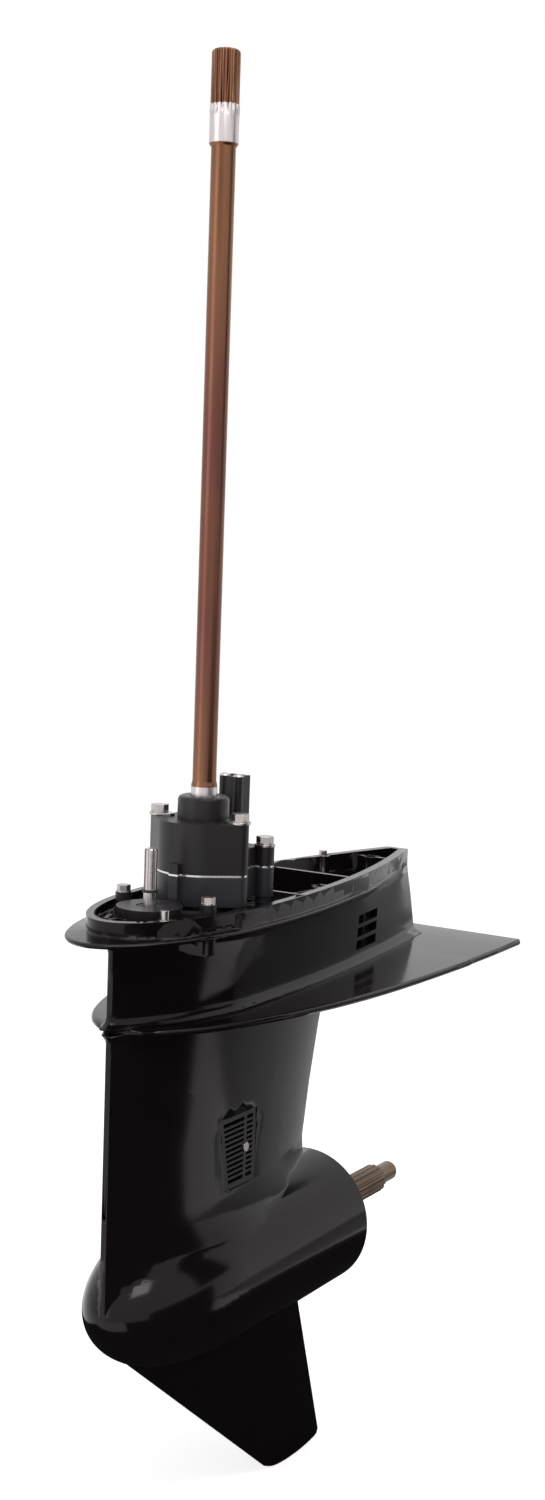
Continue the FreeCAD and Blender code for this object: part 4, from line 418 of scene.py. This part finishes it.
def flat_sheet(name, material, width, length, where, turn=0.0, standing=False):
    """Stage piece: a rectangle that lies flat or stands, turned about the upright axis."""
    shape = bmesh.new()
    bmesh.ops.create_grid(shape, x_segments=1, y_segments=1, size=0.5)
    bmesh.ops.scale(shape, verts=shape.verts, vec=(width, length, 1))
    if standing:
        stand = Quaternion((1, 0, 0), math.radians(90))
        bmesh.ops.rotate(shape, verts=shape.verts, matrix=stand.to_matrix())
    bmesh.ops.rotate(shape, verts=shape.verts, matrix=Quaternion(UP, turn).to_matrix())
    bmesh.ops.translate(shape, verts=shape.verts, vec=where)
    mesh = bpy.data.meshes.new(name)
    shape.to_mesh(mesh)
    shape.free()
    mesh.materials.append(material)
    sheet = bpy.data.objects.new(name, mesh)
    bpy.context.scene.collection.objects.link(sheet)
    return sheet


def studio_floor():
    """White floor that keeps the part's shadow and shows white to the camera."""
    material = dull_material("floor_white", FLOOR_WHITE)
    tree = material.node_tree
    shader = tree.nodes["Principled BSDF"].inputs
    feed(tree, shader["Emission Color"], (1, 1, 1))
    feed(tree, shader["Emission Strength"], combine(tree, "MULTIPLY", background_rays(tree), FLOOR_GLOW))
    flat_sheet("floor", material, FLOOR_SIDE, FLOOR_SIDE, where=(0, 0, FLOOR_LEVEL))


def studio_cloths():
    """Cloths round the part: the gloss shows them as the photograph's dark and grey sides."""
    black = dull_material("black_cloth", CLOTH_BLACK)
    grey = dull_material("grey_cloth", CLOTH_GREY)
    edge_middle = CLOTH_CORNER - ALONG_EDGE * SIDE_LENGTH / 2
    side_middle = edge_middle + OFF_EDGE * SIDE_DEPTH / 2
    low_middle = edge_middle + OFF_EDGE * SIDE_DEPTH + UP * LOW_HEIGHT / 2
    tall_middle = CLOTH_CORNER + OFF_EDGE * TALL_OFF_EDGE + ALONG_EDGE * TALL_ALONG_EDGE + UP * TALL_MIDDLE
    sheets = (
        flat_sheet("near_cloth", black, width=1.25, length=1.1, where=(0.12, -0.05, CLOTH_LEVEL)),
        flat_sheet("side_cloth", black, SIDE_LENGTH, SIDE_DEPTH, side_middle, turn=CLOTH_TURN),
        flat_sheet("low_cloth", black, SIDE_LENGTH, LOW_HEIGHT, low_middle, turn=CLOTH_TURN, standing=True),
        flat_sheet("tall_cloth", black, TALL_WIDTH, TALL_HEIGHT, tall_middle, turn=CLOTH_TURN, standing=True),
        flat_sheet("aft_cloth", grey, width=2.6, length=3.2, where=(2.1, -0.3, CLOTH_LEVEL)))
    for sheet in sheets:
        sheet.visible_camera = False
        sheet.visible_diffuse = False
        sheet.visible_shadow = False


def studio_world():
    """White background, and an even light at a plain level for everything else."""
    world = bpy.data.worlds.new("studio")
    bpy.context.scene.world = world
    world.use_nodes = True
    tree = world.node_tree
    tree.nodes.clear()
    strength = spread(tree, background_rays(tree), low=WORLD_LEVEL, high=1.0, start=0.0, end=1.0)
    light = add(tree, "ShaderNodeBackground", {"Color": (1, 1, 1), "Strength": strength})
    add(tree, "ShaderNodeOutputWorld", {"Surface": light.outputs["Background"]})


def soft_lamp(name, where, target, width, height, watts):
    """Rectangular lamp that faces its target."""
    lamp = bpy.data.lights.new(name, "AREA")
    lamp.shape = "RECTANGLE"
    lamp.size = width
    lamp.size_y = height
    lamp.energy = watts
    stand = bpy.data.objects.new(name, lamp)
    stand.location = where
    stand.rotation_mode = "QUATERNION"
    stand.rotation_quaternion = (Vector(target) - Vector(where)).to_track_quat("-Z", "Y")
    bpy.context.scene.collection.objects.link(stand)


def photo_camera(where, azimuth, elevation, roll, lens):
    """Camera at the photograph's viewing angle; the angles are in degrees, the lens in millimetres."""
    turn = math.radians(azimuth)
    rise = math.radians(elevation)
    back = Vector((math.sin(turn) * math.cos(rise), -math.cos(turn) * math.cos(rise), math.sin(rise)))
    data = bpy.data.cameras.new("photo_camera")
    data.sensor_width = 36
    data.lens = lens
    data.clip_end = 100
    camera = bpy.data.objects.new("photo_camera", data)
    camera.location = where
    camera.rotation_mode = "QUATERNION"
    tilt = Quaternion((0, 0, 1), math.radians(roll))
    camera.rotation_quaternion = (-back).to_track_quat("-Z", "Y") @ tilt
    bpy.context.scene.collection.objects.link(camera)
    bpy.context.scene.camera = camera


studio_floor()
studio_cloths()
studio_world()
soft_lamp("front_lamp", where=(-2.2, 1.0, 0.9), target=(0, 0, 0.1), width=1.2, height=2.4, watts=12)
soft_lamp("key_lamp", where=(-1.0, -1.0, 1.7), target=(-0.1, 0, -0.3), width=1.0, height=0.7, watts=14)
soft_lamp("top_lamp", where=(0.3, -0.3, 2.6), target=(0, 0, 0), width=1.6, height=1.6, watts=22)
photo_camera(where=(-1.3309, -0.8844, 0.3018), azimuth=-58.4, elevation=6.29, roll=1.97, lens=46.396)
bpy.context.scene.view_settings.view_transform = "Standard"
